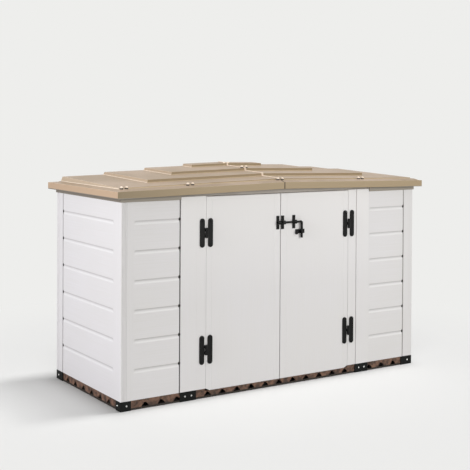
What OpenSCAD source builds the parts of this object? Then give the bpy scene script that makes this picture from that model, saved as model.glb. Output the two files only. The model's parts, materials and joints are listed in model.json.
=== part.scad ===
// Low garden storage cabinet in moulded resin, with planked walls, two swing doors and a stepped roof.
// The model stands on z = 0 with its origin under the middle of the roof. The front faces -Y.

/* [Walls] */
// Width across the outer faces of the two side walls
wall_w = 2024; // [1800:4:2300]
// Depth across the outer faces of the front and rear walls
wall_d = 828; // [740:4:960]
// Thickness of the walls and posts
wall_t = 22; // [20:1:28]
// Thickness of the skins of the hollow walls and posts
shell_t = 2.5; // [2:0.5:4]
// Thickness of the ribs inside the hollow walls
rib_t = 3; // [2:0.5:5]
// Height of one plank
plank_h = 155; // [140:1:170]
// Number of planks in each wall
planks = 7; // [6:1:8]
// How much the lowest plank is taller than the others
foot_extra = 5; // [0:1:10]
// How much the top plank is shorter than the others
top_trim = 18; // [5:1:30]
// Width of the groove between two planks
groove_w = 8; // [5:0.5:12]
// Depth of the groove between two planks
groove_depth = 3; // [2:0.5:5]
// Width of a corner post's face on the front and rear walls
post_face = 72; // [60:1:90]
// Width of a corner post's face on the side walls
post_side = 84; // [70:1:110]
// Width of each planked panel beside the doors
front_panel_w = 284; // [240:1:330]
// Width of the post between a front panel and a door
door_post_w = 100; // [80:1:120]
// Width of the jamb strip that carries the fixed hinge plates
jamb_w = 59; // [50:1:80]
// Width of the open joint at one end of each panel
reveal_w = 8; // [2:0.5:10]
// Depth of the open joint at one end of each panel
reveal_depth = 8; // [4:1:14]
// Width of the notch at the end of each plank groove
notch_w = 12; // [5:0.5:14]
// Height of the notch at the end of each plank groove
notch_h = 18; // [8:1:24]

/* [Base] */
// Height of the brown plinth and the black feet under the walls
base_h = 52; // [46:1:70]
// Thickness of the black feet
foot_t = 6; // [4:0.5:8]
// Thickness of the plinth
plinth_t = 8; // [6:0.5:10]
// Length of a corner foot along the front and rear walls
foot_front = 62; // [45:1:80]
// Length of a corner foot along the side walls
foot_side = 58; // [45:1:80]
// How much longer the feet at the front right and rear left corners are
foot_more = 26; // [0:1:40]
// Distance of the screws in the corner feet from the corner
corner_screw = 35; // [26:1:44]
// Spacing of the arches along the plinth
arch_pitch = 96; // [80:1:120]
// Spacing of the arches along the plinth's two sides
arch_pitch_side = 106; // [80:1:120]
// Width of one arch in the plinth
arch_w = 46; // [34:1:60]
// Height of one arch in the plinth
arch_h = 24; // [16:1:28]
// Height of the rail under the arches
rail_h = 10; // [4:1:14]
// Thickness of the floor deck
deck_t = 6; // [4:1:10]
// Width of the runners under the floor deck
runner_w = 8; // [5:1:20]
// Number of runners under each half of the floor
runners = 8; // [5:1:10]
// How far the runners end behind the deck's front edge
runner_front = 40; // [25:1:80]
// How far the runners end before the deck's rear edge
runner_rear = 20; // [10:1:80]
// Head diameter of the screws in the feet
foot_screw_d = 10; // [7:0.5:14]
// Head height of the screws in the feet
foot_screw_h = 3; // [2:0.5:5]

/* [Doors] */
// How far the doors reach below the walls
door_drop = 12; // [6:1:16]
// Gap between the top of the doors and the lintel
door_top_gap = 4; // [3:0.5:8]
// Height of the lintel's face above the doors
lintel_face = 20; // [16:1:30]
// How far the lintel's face is set back from the wall
lintel_back = 6; // [2:1:10]
// Gap between each door and its hinge line
door_edge_gap = 1.5; // [1:0.5:3]
// Gap between the two doors
door_mid_gap = 5; // [3:0.5:8]
// Gap behind the closed doors
door_stop_gap = 0.5; // [0.3:0.1:1]
// Distance of the border line from the meeting edge of each door
border_mid = 40; // [30:1:60]
// Distance of the border line from the hinge edge of each door
border_hinge = 34; // [24:1:44]
// Width of the border line on each door
border_w = 4; // [2:0.5:6]
// Width of the frame around the hollows in the back of each door
door_frame = 24; // [18:1:40]
// Thickness of the doors' front skin
door_skin = 4; // [3:0.5:6]
// Number of hollows beside one another in the back of each door
door_columns = 3; // [2:1:5]
// Number of hollows above one another in the back of each door
door_rows = 7; // [3:1:10]
// Depth of the border line on each door
border_depth = 1.5; // [0.5:0.5:3]
// Length of the sloped corner at the bottom of each door
door_corner = 26; // [16:1:40]

/* [Hinges] */
// Height of the two bars of each hinge
hinge_bar_h = 158; // [120:1:190]
// Width of the two bars of each hinge
hinge_bar_w = 30; // [22:1:34]
// Thickness of the hinge plates
hinge_plate_t = 5; // [3:0.5:6]
// Distance between the centre lines of the two bars
hinge_bar_gap = 52; // [48:1:60]
// Height of the knuckles in the middle of each hinge
knuckle_h = 52; // [36:1:70]
// Radius of the knuckles
knuckle_r = 8; // [7:0.5:9]
// Radius of the hinge pins
pin_r = 4; // [3:0.5:5]
// Radial clearance of the hinge pins in the moving knuckles
pin_fit = 0.05; // [0.02:0.01:0.1]
// Gap between two knuckles along the pin
knuckle_gap = 0.5; // [0.3:0.1:1]
// Head diameter of the screws in the hinges and the bolt
small_screw_d = 9; // [6:0.5:12]
// Head height of the screws in the hinges and the bolt
small_screw_h = 2.5; // [1.5:0.5:4]

/* [Bolt] */
// Radius of the sliding rod
rod_r = 6; // [5:0.5:7]
// Radial clearance of the rod in its two guides
rod_fit = 0.08; // [0.05:0.01:0.1]
// Radial clearance of the rod in the keeper
keeper_fit = 1.5; // [0.5:0.1:2]
// Distance of the rod's axis in front of the doors
rod_out = 14; // [14:0.5:20]
// Travel of the rod from its drawn back place into the keeper
rod_travel = 26; // [22:1:30]
// Width of the keeper and of each guide along the rod
staple_w = 20; // [14:1:22]
// Height of the keeper and of each guide
staple_h = 77; // [64:1:100]
// Thickness of the keeper's and the guides' feet
staple_t = 3; // [2:0.5:4]
// Wall of the keeper's and the guides' bridge around the rod
staple_wall = 3.5; // [2.5:0.5:5]
// Length of the turned-down end of the handle, below the rod's axis
handle_drop = 93; // [80:1:120]
// Radius of the handle
handle_r = 7; // [5:0.5:7.5]
// Radius of the bend between the rod and the handle
handle_bend = 9; // [8:1:12]
// Width of the lock plate behind the handle
lock_w = 65; // [56:1:76]
// Height of the lock plate behind the handle
lock_h = 24; // [18:1:32]
// How far the middle of the lock plate lies below the rod's axis
lock_drop = 57; // [50:1:70]
// How far the padlock eyes lie below the rod's axis
eye_drop = 62; // [52:1:75]
// Gap between the handle and the ear when the bolt is shot
ear_gap = 1; // [0.5:0.5:3]
// Thickness of the ear with the padlock eye
ear_t = 3; // [2:0.5:4]
// Diameter of the padlock eyes
eye_d = 8; // [6:0.5:9]

/* [Roof] */
// How far the roof reaches past the walls on every side
overhang = 40; // [30:1:60]
// Height of the roof's rim
rim_h = 38; // [28:1:50]
// How far the rim's lower edge lies below the wall tops at the corners
rim_drop = 15; // [10:1:22]
// How much the rim rises from the corners to the middle
rim_rise = 20; // [0:1:30]
// Width of the gap between the two halves of the roof
seam_gap = 3; // [1:0.5:4]
// Thickness of the roof's skin
skin = 4; // [3:0.5:6]
// How far the inner lip of the roof hangs below the wall tops
lip_drop = 35; // [28:1:50]
// Height of the sloped border between the rim and the lowest terrace
bevel_h = 9; // [6:1:20]
// Height of the lowest terrace's edge above the sloped border
edge_h = 6; // [4:1:14]
// Distance between the outer edges of neighbouring terraces, along the width
step_x = 253; // [210:1:270]
// Distance between the front edges of the two lowest terraces
step_y = 165; // [140:1:180]
// How much each next distance between the front edges is longer
step_grow = 17; // [0:1:20]
// Difference in height between the outer corners of neighbouring terraces
step_z = 27.5; // [20:1:36]
// Number of terraces
terraces = 4; // [3:1:4]
// Rise of the terraces towards the middle, for each unit of width
slope_x = 0.022; // [0:0.001:0.03]
// Rise of the terraces towards the rear, for each unit of depth
slope_y = 0.0315; // [0:0.0005:0.04]
// Width of the flat ledge behind the terraces
rear_ledge = 80; // [50:1:120]
// How far the rear slope of each terrace lies in front of the one below
rear_step = 6; // [3:1:15]
// Width of the raised cap along the seam between the roof halves
cap_w = 12; // [10:1:14]
// Height of the raised cap along the seam between the roof halves
cap_h = 4; // [2:0.5:6]
// Width of the beam under the seam
beam_w = 40; // [30:1:60]
// Height of the beam and of the top rails
beam_h = 48; // [36:1:60]
// Thickness of the top rails
rail_t = 16; // [12:1:22]
// Head diameter of the roof screws
roof_screw_d = 16; // [9:0.5:18]
// Head height of the roof screws
roof_screw_h = 7; // [3:0.5:9]
// Distance between the two screws of a pair on the roof
pair_gap = 30; // [24:1:40]
// Distance of the pairs beside the doors from the middle of the roof
pair_x = 595; // [500:5:700]

/* [Hidden] */

white = "#e6e4e2";
roof_tan = "#bfae9f";
black = "#1f1f1f";
brown = "#8b6a5a";
steel = "#b8bab8";

$fn = 48;
// Overlap that keeps a cut from ending on a face
e = 1;

wx = wall_w / 2;
wy = wall_d / 2;
wall_h = foot_extra + planks * plank_h - top_trim;
wall_top = base_h + wall_h;

// Places along the front, from the middle outwards
post_x = wx - post_face;
panel_x = post_x - front_panel_w;
jamb_x = panel_x - door_post_w;
hinge_x = jamb_x - jamb_w;
hinge_out = knuckle_r + 1;

post_h = wall_h - lintel_face;

door_bottom = base_h - door_drop;
door_top = wall_top - lintel_face - door_top_gap;
door_h = door_top - door_bottom;
door_t = wall_t - door_stop_gap;
door_w = hinge_x - door_edge_gap - door_mid_gap / 2;
hinge_z_low = base_h + foot_extra + 1.34 * plank_h;
hinge_z_high = base_h + foot_extra + 5.46 * plank_h;

rod_z = base_h + foot_extra + 5.66 * plank_h;
keeper_x = -door_mid_gap / 2 - 7.5 - staple_w / 2;
guide_x_in = door_mid_gap / 2 + 0.5 + staple_w / 2;
guide_x_out = guide_x_in + 79;
rod_tip = guide_x_in - staple_w / 2;
hub_x = guide_x_out + staple_w / 2 + rod_travel + 3;
hub_gap = 0.2;
handle_x = hub_x + hub_gap + 0.3 + handle_bend;
spigot_r = rod_r / 2;
spigot_l = 15;
lock_z = rod_z - lock_drop;
eye_z = rod_z - eye_drop;
lock_left = handle_x - handle_r - rod_travel - ear_gap - ear_t;
lock_t = 3;

roof_x = wx + overhang;
roof_y = wy + overhang;
rim_low = wall_top - rim_drop;
rim_top = rim_low + rim_h;
rim_slope = rim_rise / roof_x;
terrace_x = wx;
terrace_y = -wy + 23;
ledge_y = terrace_y - 16;
terrace_z = rim_top + bevel_h + edge_h;
bevel_out = 12;
bevel_run = overhang - bevel_out - 8;
// Width of the wall tops that the roof rests on
seat = wall_t / 2;

foot_screw_z = base_h / 2 + 1;
plinth_in = foot_t + plinth_t;
screw_r = 2;

// A planked wall panel of length l along X, with its outer face at y = 0 looking to -Y
module planked_panel(l) {
    groove_zs = [for (i = [1 : planks - 1]) foot_extra + i * plank_h];
    web = groove_w / 2 + 1;
    outline = concat(
        [[0, 0]],
        [for (z = groove_zs) each [[0, z - groove_w / 2], [groove_depth, z], [0, z + groove_w / 2]]],
        [[0, wall_h], [wall_t, wall_h], [wall_t, 0]]);
    lows = concat([shell_t], [for (z = groove_zs) z + web]);
    highs = concat([for (z = groove_zs) z - web], [wall_h - shell_t]);
    difference() {
        rotate([90, 0, 90])
            linear_extrude(l)
                difference() {
                    polygon(outline);
                    for (i = [0 : planks - 1]) hollow_pair(lows[i], highs[i]);
                }
        translate([l - reveal_w, -e, -e])
            cube([reveal_w + e, reveal_depth + e, wall_h + 2 * e]);
        for (z = groove_zs)
            translate([l - notch_w, -e, z - notch_h / 2])
                cube([notch_w + e, reveal_depth + e, notch_h]);
    }
}

// The two channels inside one plank, on both sides of a rib
module hollow_pair(low, high) {
    half = (high - low - rib_t) / 2;
    for (z = [low, high - half])
        translate([shell_t, z]) square([wall_t - 2 * shell_t, half]);
}

module front_panel(x) {
    color(white)
        translate([x, -wy, base_h]) planked_panel(front_panel_w);
}
module front_panel_left() { front_panel(-post_x); }
module front_panel_right() { front_panel(panel_x); }

// The open joint of each side panel is at the rear on the left wall and at the front on the right
module side_panel_left() {
    color(white)
        translate([-wx, -wy + post_side, base_h])
            mirror([1, -1, 0]) planked_panel(wall_d - 2 * post_side);
}
module side_panel_right() { rotate([0, 0, 180]) side_panel_left(); }

rear_panel_w = post_x - door_post_w / 2;
module rear_panel(x) {
    color(white)
        translate([x, wy, base_h])
            rotate([0, 0, 180]) planked_panel(rear_panel_w);
}
module rear_panel_left() { rear_panel(-door_post_w / 2); }
module rear_panel_right() { rear_panel(post_x); }

// An angle post for the front left corner, with one arm along each wall
module corner_post() {
    color(white)
        translate([-wx, -wy, base_h])
            linear_extrude(wall_h)
                difference() {
                    polygon([[0, 0], [post_face, 0], [post_face, wall_t], [wall_t, wall_t],
                        [wall_t, post_side], [0, post_side]]);
                    translate([shell_t, shell_t])
                        square([wall_t - 2 * shell_t, post_side - 2 * shell_t]);
                    translate([wall_t, shell_t])
                        square([post_face - wall_t - shell_t, wall_t - 2 * shell_t]);
                }
}
module corner_post_front_left() { corner_post(); }
module corner_post_front_right() { mirror([1, 0, 0]) corner_post(); }
module corner_post_rear_left() { mirror([0, 1, 0]) corner_post(); }
module corner_post_rear_right() { rotate([0, 0, 180]) corner_post(); }

// A hollow post of width w and height h along X, with its outer face at y = 0
module hollow_post(w, h) {
    linear_extrude(h)
        difference() {
            square([w, wall_t]);
            translate([shell_t, shell_t]) square([w - 2 * shell_t, wall_t - 2 * shell_t]);
        }
}
module door_post_left() {
    color(white)
        translate([-panel_x, -wy, base_h]) hollow_post(door_post_w, post_h);
}
module door_post_right() {
    color(white)
        translate([jamb_x, -wy, base_h]) hollow_post(door_post_w, post_h);
}
module rear_post() {
    color(white)
        translate([-door_post_w / 2, wy - wall_t, base_h]) hollow_post(door_post_w, wall_h);
}

// The jamb strip, with a stop behind the door's edge
stop_w = 18;
stop_t = 8;
module jamb() {
    color(white)
        translate([0, -wy, base_h]) {
            translate([-jamb_x, 0, 0]) hollow_post(jamb_w, post_h);
            translate([-hinge_x - stop_w, wall_t - 0.01, 0])
                cube([2 * stop_w, stop_t + 0.01, wall_h - beam_h]);
        }
}
module jamb_left() { jamb(); }
module jamb_right() { mirror([1, 0, 0]) jamb(); }

// The lintel: a stop behind the doors, with a face that fills the gap above them
module lintel() {
    inner = wx - wall_t - rail_t;
    color(white)
        union() {
            translate([-inner, -wy + wall_t, wall_top - beam_h]) cube([2 * inner, rail_t, beam_h]);
            translate([-panel_x, -wy + lintel_back, wall_top - lintel_face])
                cube([2 * panel_x, wall_t, lintel_face]);
        }
}
module rail_side() {
    color(white)
        translate([-wx + wall_t, -wy + wall_t, wall_top - beam_h])
            cube([rail_t, wall_d - 2 * wall_t, beam_h]);
}
module rail_left() { rail_side(); }
module rail_right() { mirror([1, 0, 0]) rail_side(); }
module rail_rear() {
    inner = wx - wall_t - rail_t;
    color(white)
        translate([-inner, wy - wall_t - rail_t, wall_top - beam_h])
            cube([2 * inner, rail_t, beam_h]);
}
module roof_beam() {
    inner = wy - wall_t - rail_t;
    color(white)
        translate([-beam_w / 2, -inner, wall_top - beam_h]) cube([beam_w, 2 * inner, beam_h]);
}

// Half of the floor: a deck under the walls, with its runners that stand on the ground
floor_w = wx - plinth_in;
floor_d = wall_d - 2 * plinth_in;
deck_z = base_h - deck_t;
module floor_half() {
    color(brown)
        difference() {
            translate([-floor_w, -floor_d / 2, deck_z]) cube([floor_w, floor_d, deck_t]);
            // Room for the closed doors
            translate([-hinge_x, -wy, -e])
                cube([hinge_x + e, wall_t, base_h + 2 * e]);
        }
}
module floor_runners() {
    pitch = (floor_w - runner_w) / (runners - 1);
    run = floor_d - runner_front - runner_rear;
    color(brown)
        for (i = [0 : runners - 1])
            translate([-floor_w + i * pitch, -floor_d / 2 + runner_front, 0]) cube([runner_w, run, deck_z]);
}
module floor_left() { floor_half(); }
module floor_right() { mirror([1, 0, 0]) floor_half(); }
module floor_runners_left() { floor_runners(); }
module floor_runners_right() { mirror([1, 0, 0]) floor_runners(); }

// The outline of one arch above the rail: a wide foot, round shoulders and a low crown
module arch() {
    r = arch_w * 0.22;
    polygon([[-arch_w / 2, 0], [-arch_w / 2 + 3, arch_h * 0.3], [-arch_w * 0.24, arch_h * 0.62],
        [-arch_w * 0.06, arch_h], [arch_w * 0.14, arch_h * 0.84], [arch_w * 0.3, arch_h * 0.62],
        [arch_w / 2 - 2, arch_h * 0.3], [arch_w / 2, 0]]);
    translate([-arch_w * 0.02, arch_h - r]) circle(r);
}
// A length of plinth along X with arches, from x = 0 to l
module plinth_run(l, margin, pitch) {
    count = floor((l - 2 * margin) / pitch);
    start = (l - (count - 1) * pitch) / 2;
    rotate([90, 0, 0])
        translate([0, 0, -plinth_t])
            linear_extrude(plinth_t)
                difference() {
                    square([l, base_h]);
                    for (i = [0 : count - 1])
                        translate([start + i * pitch, rail_h]) arch();
                }
}
module plinth_front() {
    clear = 2;
    half = hinge_x + door_edge_gap;
    color(brown)
        difference() {
            translate([-wx + foot_t, -wy + foot_t, 0])
                plinth_run(wall_w - 2 * foot_t, foot_front, arch_pitch);
            translate([-half, -wy, door_bottom - clear]) cube([2 * half, wall_t + e, base_h]);
        }
}
module plinth_rear() {
    color(brown)
        translate([-wx + foot_t, wy - plinth_in, 0])
            plinth_run(wall_w - 2 * foot_t, foot_front, arch_pitch);
}
module plinth_left() {
    run = floor_d;
    color(brown)
        translate([-wx + plinth_in, -run / 2, 0])
            rotate([0, 0, 90]) plinth_run(run, foot_side - plinth_in, arch_pitch_side);
}
module plinth_right() { mirror([1, 0, 0]) plinth_left(); }

// A black angle foot at the front left corner, with both arms longer by a length
module corner_foot(more) {
    color(black)
        translate([-wx, -wy, 0])
            linear_extrude(base_h)
                polygon([[0, 0], [foot_front + more, 0], [foot_front + more, foot_t],
                    [foot_t, foot_t], [foot_t, foot_side + more], [0, foot_side + more]]);
}
module foot_front_left() { corner_foot(0); }
module foot_front_right() { mirror([1, 0, 0]) corner_foot(foot_more); }
module foot_rear_left() { mirror([0, 1, 0]) corner_foot(foot_more); }
module foot_rear_right() { rotate([0, 0, 180]) corner_foot(0); }

// The black plate at the foot of a door post or of the rear post
module flat_foot(x, y) {
    color(black)
        translate([x, y, 0]) cube([door_post_w, foot_t, base_h]);
}
module foot_door_left() { flat_foot(-panel_x, -wy); }
module foot_door_right() { flat_foot(jamb_x, -wy); }
module foot_rear_middle() { flat_foot(-door_post_w / 2, wy - foot_t); }

// A pan head standing on y = 0 and looking to -Y
module pan_head(d, h) {
    rotate([90, 0, 0])
        rotate_extrude($fn = 32)
            polygon([[0, 0], [d / 2, 0], [d / 2, h * 0.4], [d * 0.36, h * 0.85], [d * 0.18, h],
                [0, h]]);
}
module foot_screw_front(x) {
    translate([x, -wy, foot_screw_z]) pan_head(foot_screw_d, foot_screw_h);
}
module foot_screw_side(y) {
    translate([-wx, y, foot_screw_z]) rotate([0, 0, -90]) pan_head(foot_screw_d, foot_screw_h);
}
module foot_screws() {
    plate_mid = panel_x - door_post_w / 2;
    pair = door_post_w * 0.4;
    color(steel)
        for (a = [0, 180])
            rotate([0, 0, a]) {
                for (s = [-1, 1]) foot_screw_front(s * (wx - corner_screw));
                for (s = [-1, 1]) foot_screw_side(s * (wy - corner_screw));
                if (a == 0)
                    for (s = [-1, 1], t = [-0.5, 0.5]) foot_screw_front(s * plate_mid + t * pair);
                else
                    for (t = [-0.5, 0.5]) foot_screw_front(t * pair);
            }
}

// The hollows in the back of a door
module door_hollows() {
    rib = 6;
    w = (door_w - 2 * door_frame - (door_columns - 1) * rib) / door_columns;
    h = (door_h - 2 * door_frame - (door_rows - 1) * rib) / door_rows;
    for (i = [0 : door_columns - 1], j = [0 : door_rows - 1])
        translate([door_frame + i * (w + rib), door_skin, door_frame + j * (h + rib)])
            cube([w, door_t, h]);
}
// A door with its hinge edge to the left. Shallow lines mark its borders.
module door() {
    line_a = border_hinge;
    line_b = door_w - border_mid;
    half = border_w / 2;
    color(white)
        translate([-hinge_x + door_edge_gap, -wy, door_bottom])
            difference() {
                linear_extrude(door_h)
                    polygon([[0, 0], [line_a - half, 0], [line_a, border_depth], [line_a + half, 0],
                        [line_b - half, 0], [line_b, border_depth], [line_b + half, 0],
                        [door_w, 0], [door_w, door_t], [0, door_t]]);
                door_hollows();
                translate([0, -e, 0])
                    rotate([-90, 0, 0])
                        linear_extrude(door_t + 2 * e)
                            polygon([[-e, e], [door_corner, e], [door_corner, 0], [0, -door_drop],
                                [-e, -door_drop]]);
            }
}
module left_door() { door(); }
module right_door() { mirror([1, 0, 0]) door(); }

// One knuckled plate of a hinge, with its pin axis on z and its bar on the side of -X
module hinge_half(z0, knuckles, bore) {
    bar_x = -hinge_bar_gap / 2;
    round_h = hinge_bar_h - hinge_bar_w;
    difference() {
        union() {
            translate([bar_x, hinge_out, 0])
                rotate([90, 0, 0])
                    linear_extrude(hinge_plate_t) {
                        square([hinge_bar_w, round_h], center = true);
                        for (s = [-1, 1]) translate([0, s * round_h / 2]) circle(d = hinge_bar_w);
                    }
            for (k = knuckles)
                translate([0, 0, k[0]]) {
                    cylinder(r = knuckle_r, h = k[1]);
                    translate([bar_x, hinge_out - hinge_plate_t, 0])
                        cube([hinge_bar_gap / 2, hinge_plate_t, k[1]]);
                }
        }
        translate([0, 0, -knuckle_h]) cylinder(r = bore, h = 2 * knuckle_h);
        for (s = [-1, 1])
            translate([bar_x, 0, s * round_h / 2])
                rotate([-90, 0, 0]) cylinder(r = screw_r + 0.1, h = 2 * hinge_out, $fn = 24);
    }
}
third = knuckle_h / 3;
module place_hinge(side, z) {
    translate([0, -wy - hinge_out, z])
        mirror([side > 0 ? 1 : 0, 0, 0])
            translate([-hinge_x, 0, 0]) children();
}
module hinge_plate(side, z) {
    color(black)
        place_hinge(side, z)
            hinge_half(z, [[-knuckle_h / 2, third - knuckle_gap / 2],
                [third / 2 + knuckle_gap / 2, third - knuckle_gap / 2]], pin_r);
}
module hinge_leaf(side, z) {
    color(black)
        place_hinge(side, z)
            mirror([1, 0, 0])
                hinge_half(z, [[-third / 2 + knuckle_gap / 2, third - knuckle_gap]], pin_r + pin_fit);
}
module hinge_plate_left_upper() { hinge_plate(-1, hinge_z_high); }
module hinge_plate_left_lower() { hinge_plate(-1, hinge_z_low); }
module hinge_plate_right_upper() { hinge_plate(1, hinge_z_high); }
module hinge_plate_right_lower() { hinge_plate(1, hinge_z_low); }
module hinge_leaf_left_upper() { hinge_leaf(-1, hinge_z_high); }
module hinge_leaf_left_lower() { hinge_leaf(-1, hinge_z_low); }
module hinge_leaf_right_upper() { hinge_leaf(1, hinge_z_high); }
module hinge_leaf_right_lower() { hinge_leaf(1, hinge_z_low); }

module hinge_pins() {
    head = 2;
    color(black)
        for (side = [-1, 1], z = [hinge_z_low, hinge_z_high])
            place_hinge(side, z) {
                translate([0, 0, -knuckle_h / 2]) cylinder(r = pin_r, h = knuckle_h);
                for (s = [-1, 1])
                    translate([0, 0, s * (knuckle_h + head) / 2])
                        cylinder(r = pin_r + 2, h = head, center = true);
            }
}

// A screw with a pan head on the plate at y = 0 and a shank that reaches t behind it
module small_screw(t) {
    pan_head(small_screw_d, small_screw_h);
    rotate([-90, 0, 0]) cylinder(r = screw_r, h = t, $fn = 24);
}
module hinge_screws(side, mover) {
    dx = (mover ? 1 : -1) * hinge_bar_gap / 2;
    for (z = [hinge_z_low, hinge_z_high], s = [-1, 1])
        translate([side * (hinge_x - dx), -wy - hinge_plate_t, z + s * (hinge_bar_h - hinge_bar_w) / 2])
            small_screw(hinge_plate_t);
}
module staple_screws(x) {
    for (s = [-1, 1])
        translate([x, -wy - staple_t, rod_z + s * (staple_h / 2 - 9)]) small_screw(staple_t);
}
module jamb_screws() {
    color(black)
        for (side = [-1, 1]) hinge_screws(side, false);
}
module left_door_screws() {
    color(black) {
        hinge_screws(-1, true);
        staple_screws(keeper_x);
    }
}
module right_door_screws() {
    color(black) {
        hinge_screws(1, true);
        staple_screws(guide_x_in);
        staple_screws(guide_x_out);
        lock_screws();
    }
}

// A bridge over the rod on a flat foot with two screw holes
module staple(x, bore) {
    bridge = rod_r + keeper_fit + staple_wall;
    color(black)
        translate([x, -wy, rod_z])
            difference() {
                union() {
                    translate([-staple_w / 2, -staple_t, -staple_h / 2])
                        cube([staple_w, staple_t, staple_h]);
                    translate([-staple_w / 2, -rod_out, -bridge])
                        cube([staple_w, rod_out, 2 * bridge]);
                    translate([-staple_w / 2, -rod_out, 0])
                        rotate([0, 90, 0]) cylinder(r = bridge, h = staple_w);
                }
                translate([-staple_w, -rod_out, 0])
                    rotate([0, 90, 0]) cylinder(r = bore, h = 2 * staple_w);
                for (s = [-1, 1])
                    translate([0, e, s * (staple_h / 2 - 9)])
                        rotate([90, 0, 0]) cylinder(r = screw_r + 0.1, h = staple_t + 2 * e, $fn = 24);
            }
}
module bolt_keeper() { staple(keeper_x, rod_r + keeper_fit); }
module bolt_guide_inner() { staple(guide_x_in, rod_r + rod_fit); }
module bolt_guide_outer() { staple(guide_x_out, rod_r + rod_fit); }

module bolt_rod() {
    color(black)
        translate([rod_tip, -wy - rod_out, rod_z])
            rotate([0, 90, 0])
                difference() {
                    cylinder(r = rod_r, h = hub_x - rod_tip);
                    translate([0, 0, hub_x - rod_tip - spigot_l - 1])
                        cylinder(r = spigot_r + pin_fit, h = spigot_l + 1 + e);
                }
}

// The turned-down handle, and the spigot in the end of the rod on which it turns
module bolt_handle() {
    boss_t = 8;
    leg_x = handle_x - hub_x;
    color(black)
        translate([hub_x, -wy - rod_out, rod_z])
            difference() {
                union() {
                    translate([hub_gap, 0, 0])
                        rotate([0, 90, 0]) cylinder(r = handle_r, h = leg_x - handle_bend - hub_gap + e);
                    translate([leg_x - handle_bend, 0, -handle_bend])
                        rotate([90, 0, 0])
                            rotate_extrude(angle = 90) translate([handle_bend, 0]) circle(r = handle_r);
                    translate([leg_x, 0, -handle_drop])
                        cylinder(r = handle_r, h = handle_drop - handle_bend);
                    translate([leg_x - boss_t / 2, 0, -eye_drop])
                        rotate([0, 90, 0]) cylinder(d = 2 * eye_d, h = boss_t);
                }
                translate([leg_x - handle_r - e, 0, -eye_drop])
                    rotate([0, 90, 0]) cylinder(d = eye_d, h = 2 * (handle_r + e));
            }
}
module handle_spigot() {
    color(black)
        translate([hub_x - spigot_l, -wy - rod_out, rod_z])
            rotate([0, 90, 0]) cylinder(r = spigot_r, h = spigot_l + hub_gap);
}

// The plate behind the handle, and the ear on it whose eye takes a padlock
module lock_plate() {
    color(black)
        difference() {
            translate([lock_left, -wy - lock_t, lock_z - lock_h / 2])
                cube([lock_w, lock_t, lock_h]);
            for (x = lock_screw_xs)
                translate([x, -wy + e, lock_z])
                    rotate([90, 0, 0]) cylinder(r = screw_r + 0.1, h = lock_t + 2 * e, $fn = 24);
        }
}
module lock_ear() {
    reach = rod_out - lock_t;
    color(black)
        difference() {
            union() {
                translate([lock_left, -wy - rod_out, eye_z - lock_h / 2])
                    cube([ear_t, reach, lock_h]);
                translate([lock_left, -wy - rod_out, eye_z])
                    rotate([0, 90, 0]) cylinder(d = lock_h, h = ear_t);
            }
            translate([lock_left - e, -wy - rod_out, eye_z])
                rotate([0, 90, 0]) cylinder(d = eye_d, h = ear_t + 2 * e);
            translate([lock_left - e, -wy - lock_t, eye_z - lock_h])
                cube([ear_t + 2 * e, lock_t, 2 * lock_h]);
        }
}
lock_screw_xs = [lock_left + 16, lock_left + lock_w - 8];
module lock_screws() {
    for (x = lock_screw_xs)
        translate([x, -wy - lock_t, lock_z]) small_screw(lock_t);
}

// Height of the rim's top and of a terrace's tread at a place on the right half of the roof
function rim_z(x) = rim_top + rim_slope * (roof_x - x);
function tread_x(k) = terrace_x - k * step_x;
function tread_y(k) = terrace_y + k * step_y + step_grow * k * (k - 1) / 2;
function tread_z(k, x, y) =
    terrace_z + k * step_z + slope_x * (tread_x(k) - x) + slope_y * (y - tread_y(k));
// The rear of each terrace slopes at 45 degrees, so that y and z have one sum all over it
function rear_sum(k) = roof_y - rear_ledge + rim_top - k * rear_step;
function tread_rear(k, x, down, back) =
    (rear_sum(k) - back + down - tread_z(k, x, 0)) / (1 + slope_y);

// A block with flat faces, from its four low corners and the four corners above them
module block(low, high) {
    polyhedron(
        points = concat(low, high),
        faces = [[0, 1, 2, 3], [7, 6, 5, 4], [0, 4, 5, 1], [1, 5, 6, 2], [2, 6, 7, 3], [3, 7, 4, 0]]);
}

// One terrace on the right half, from x = x0, with its sides, its top and its rear drawn in
module terrace(k, x0, side, down, back, z_low) {
    xs = [x0, tread_x(k) - side];
    y0 = tread_y(k) + side;
    rear = [for (x = xs) tread_rear(k, x, down, back)];
    foot = rear_sum(k) - back - z_low;
    block(
        [[xs[0], y0, z_low], [xs[1], y0, z_low], [xs[1], foot, z_low], [xs[0], foot, z_low]],
        [[xs[0], y0, tread_z(k, xs[0], y0) - down], [xs[1], y0, tread_z(k, xs[1], y0) - down],
            [xs[1], rear[1], tread_z(k, xs[1], rear[1]) - down],
            [xs[0], rear[0], tread_z(k, xs[0], rear[0]) - down]]);
}
module terrace_outside(k, z_low) { terrace(k, 0, 0, 0, 0, z_low); }
module terrace_inside(k, z_low) {
    terrace(k, skin + seam_gap / 2, k == 0 ? seat : skin, skin, skin * sqrt(2), z_low);
}

// The rim on the right half. Its top follows the rise towards the middle.
module rim_block(x0, inset, z_low) {
    xs = [x0, roof_x - inset];
    y = roof_y - inset;
    block(
        [[xs[0], -y, z_low], [xs[1], -y, z_low], [xs[1], y, z_low], [xs[0], y, z_low]],
        [[xs[0], -y, rim_z(xs[0]) - inset], [xs[1], -y, rim_z(xs[1]) - inset],
            [xs[1], y, rim_z(xs[1]) - inset], [xs[0], y, rim_z(xs[0]) - inset]]);
}
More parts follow.
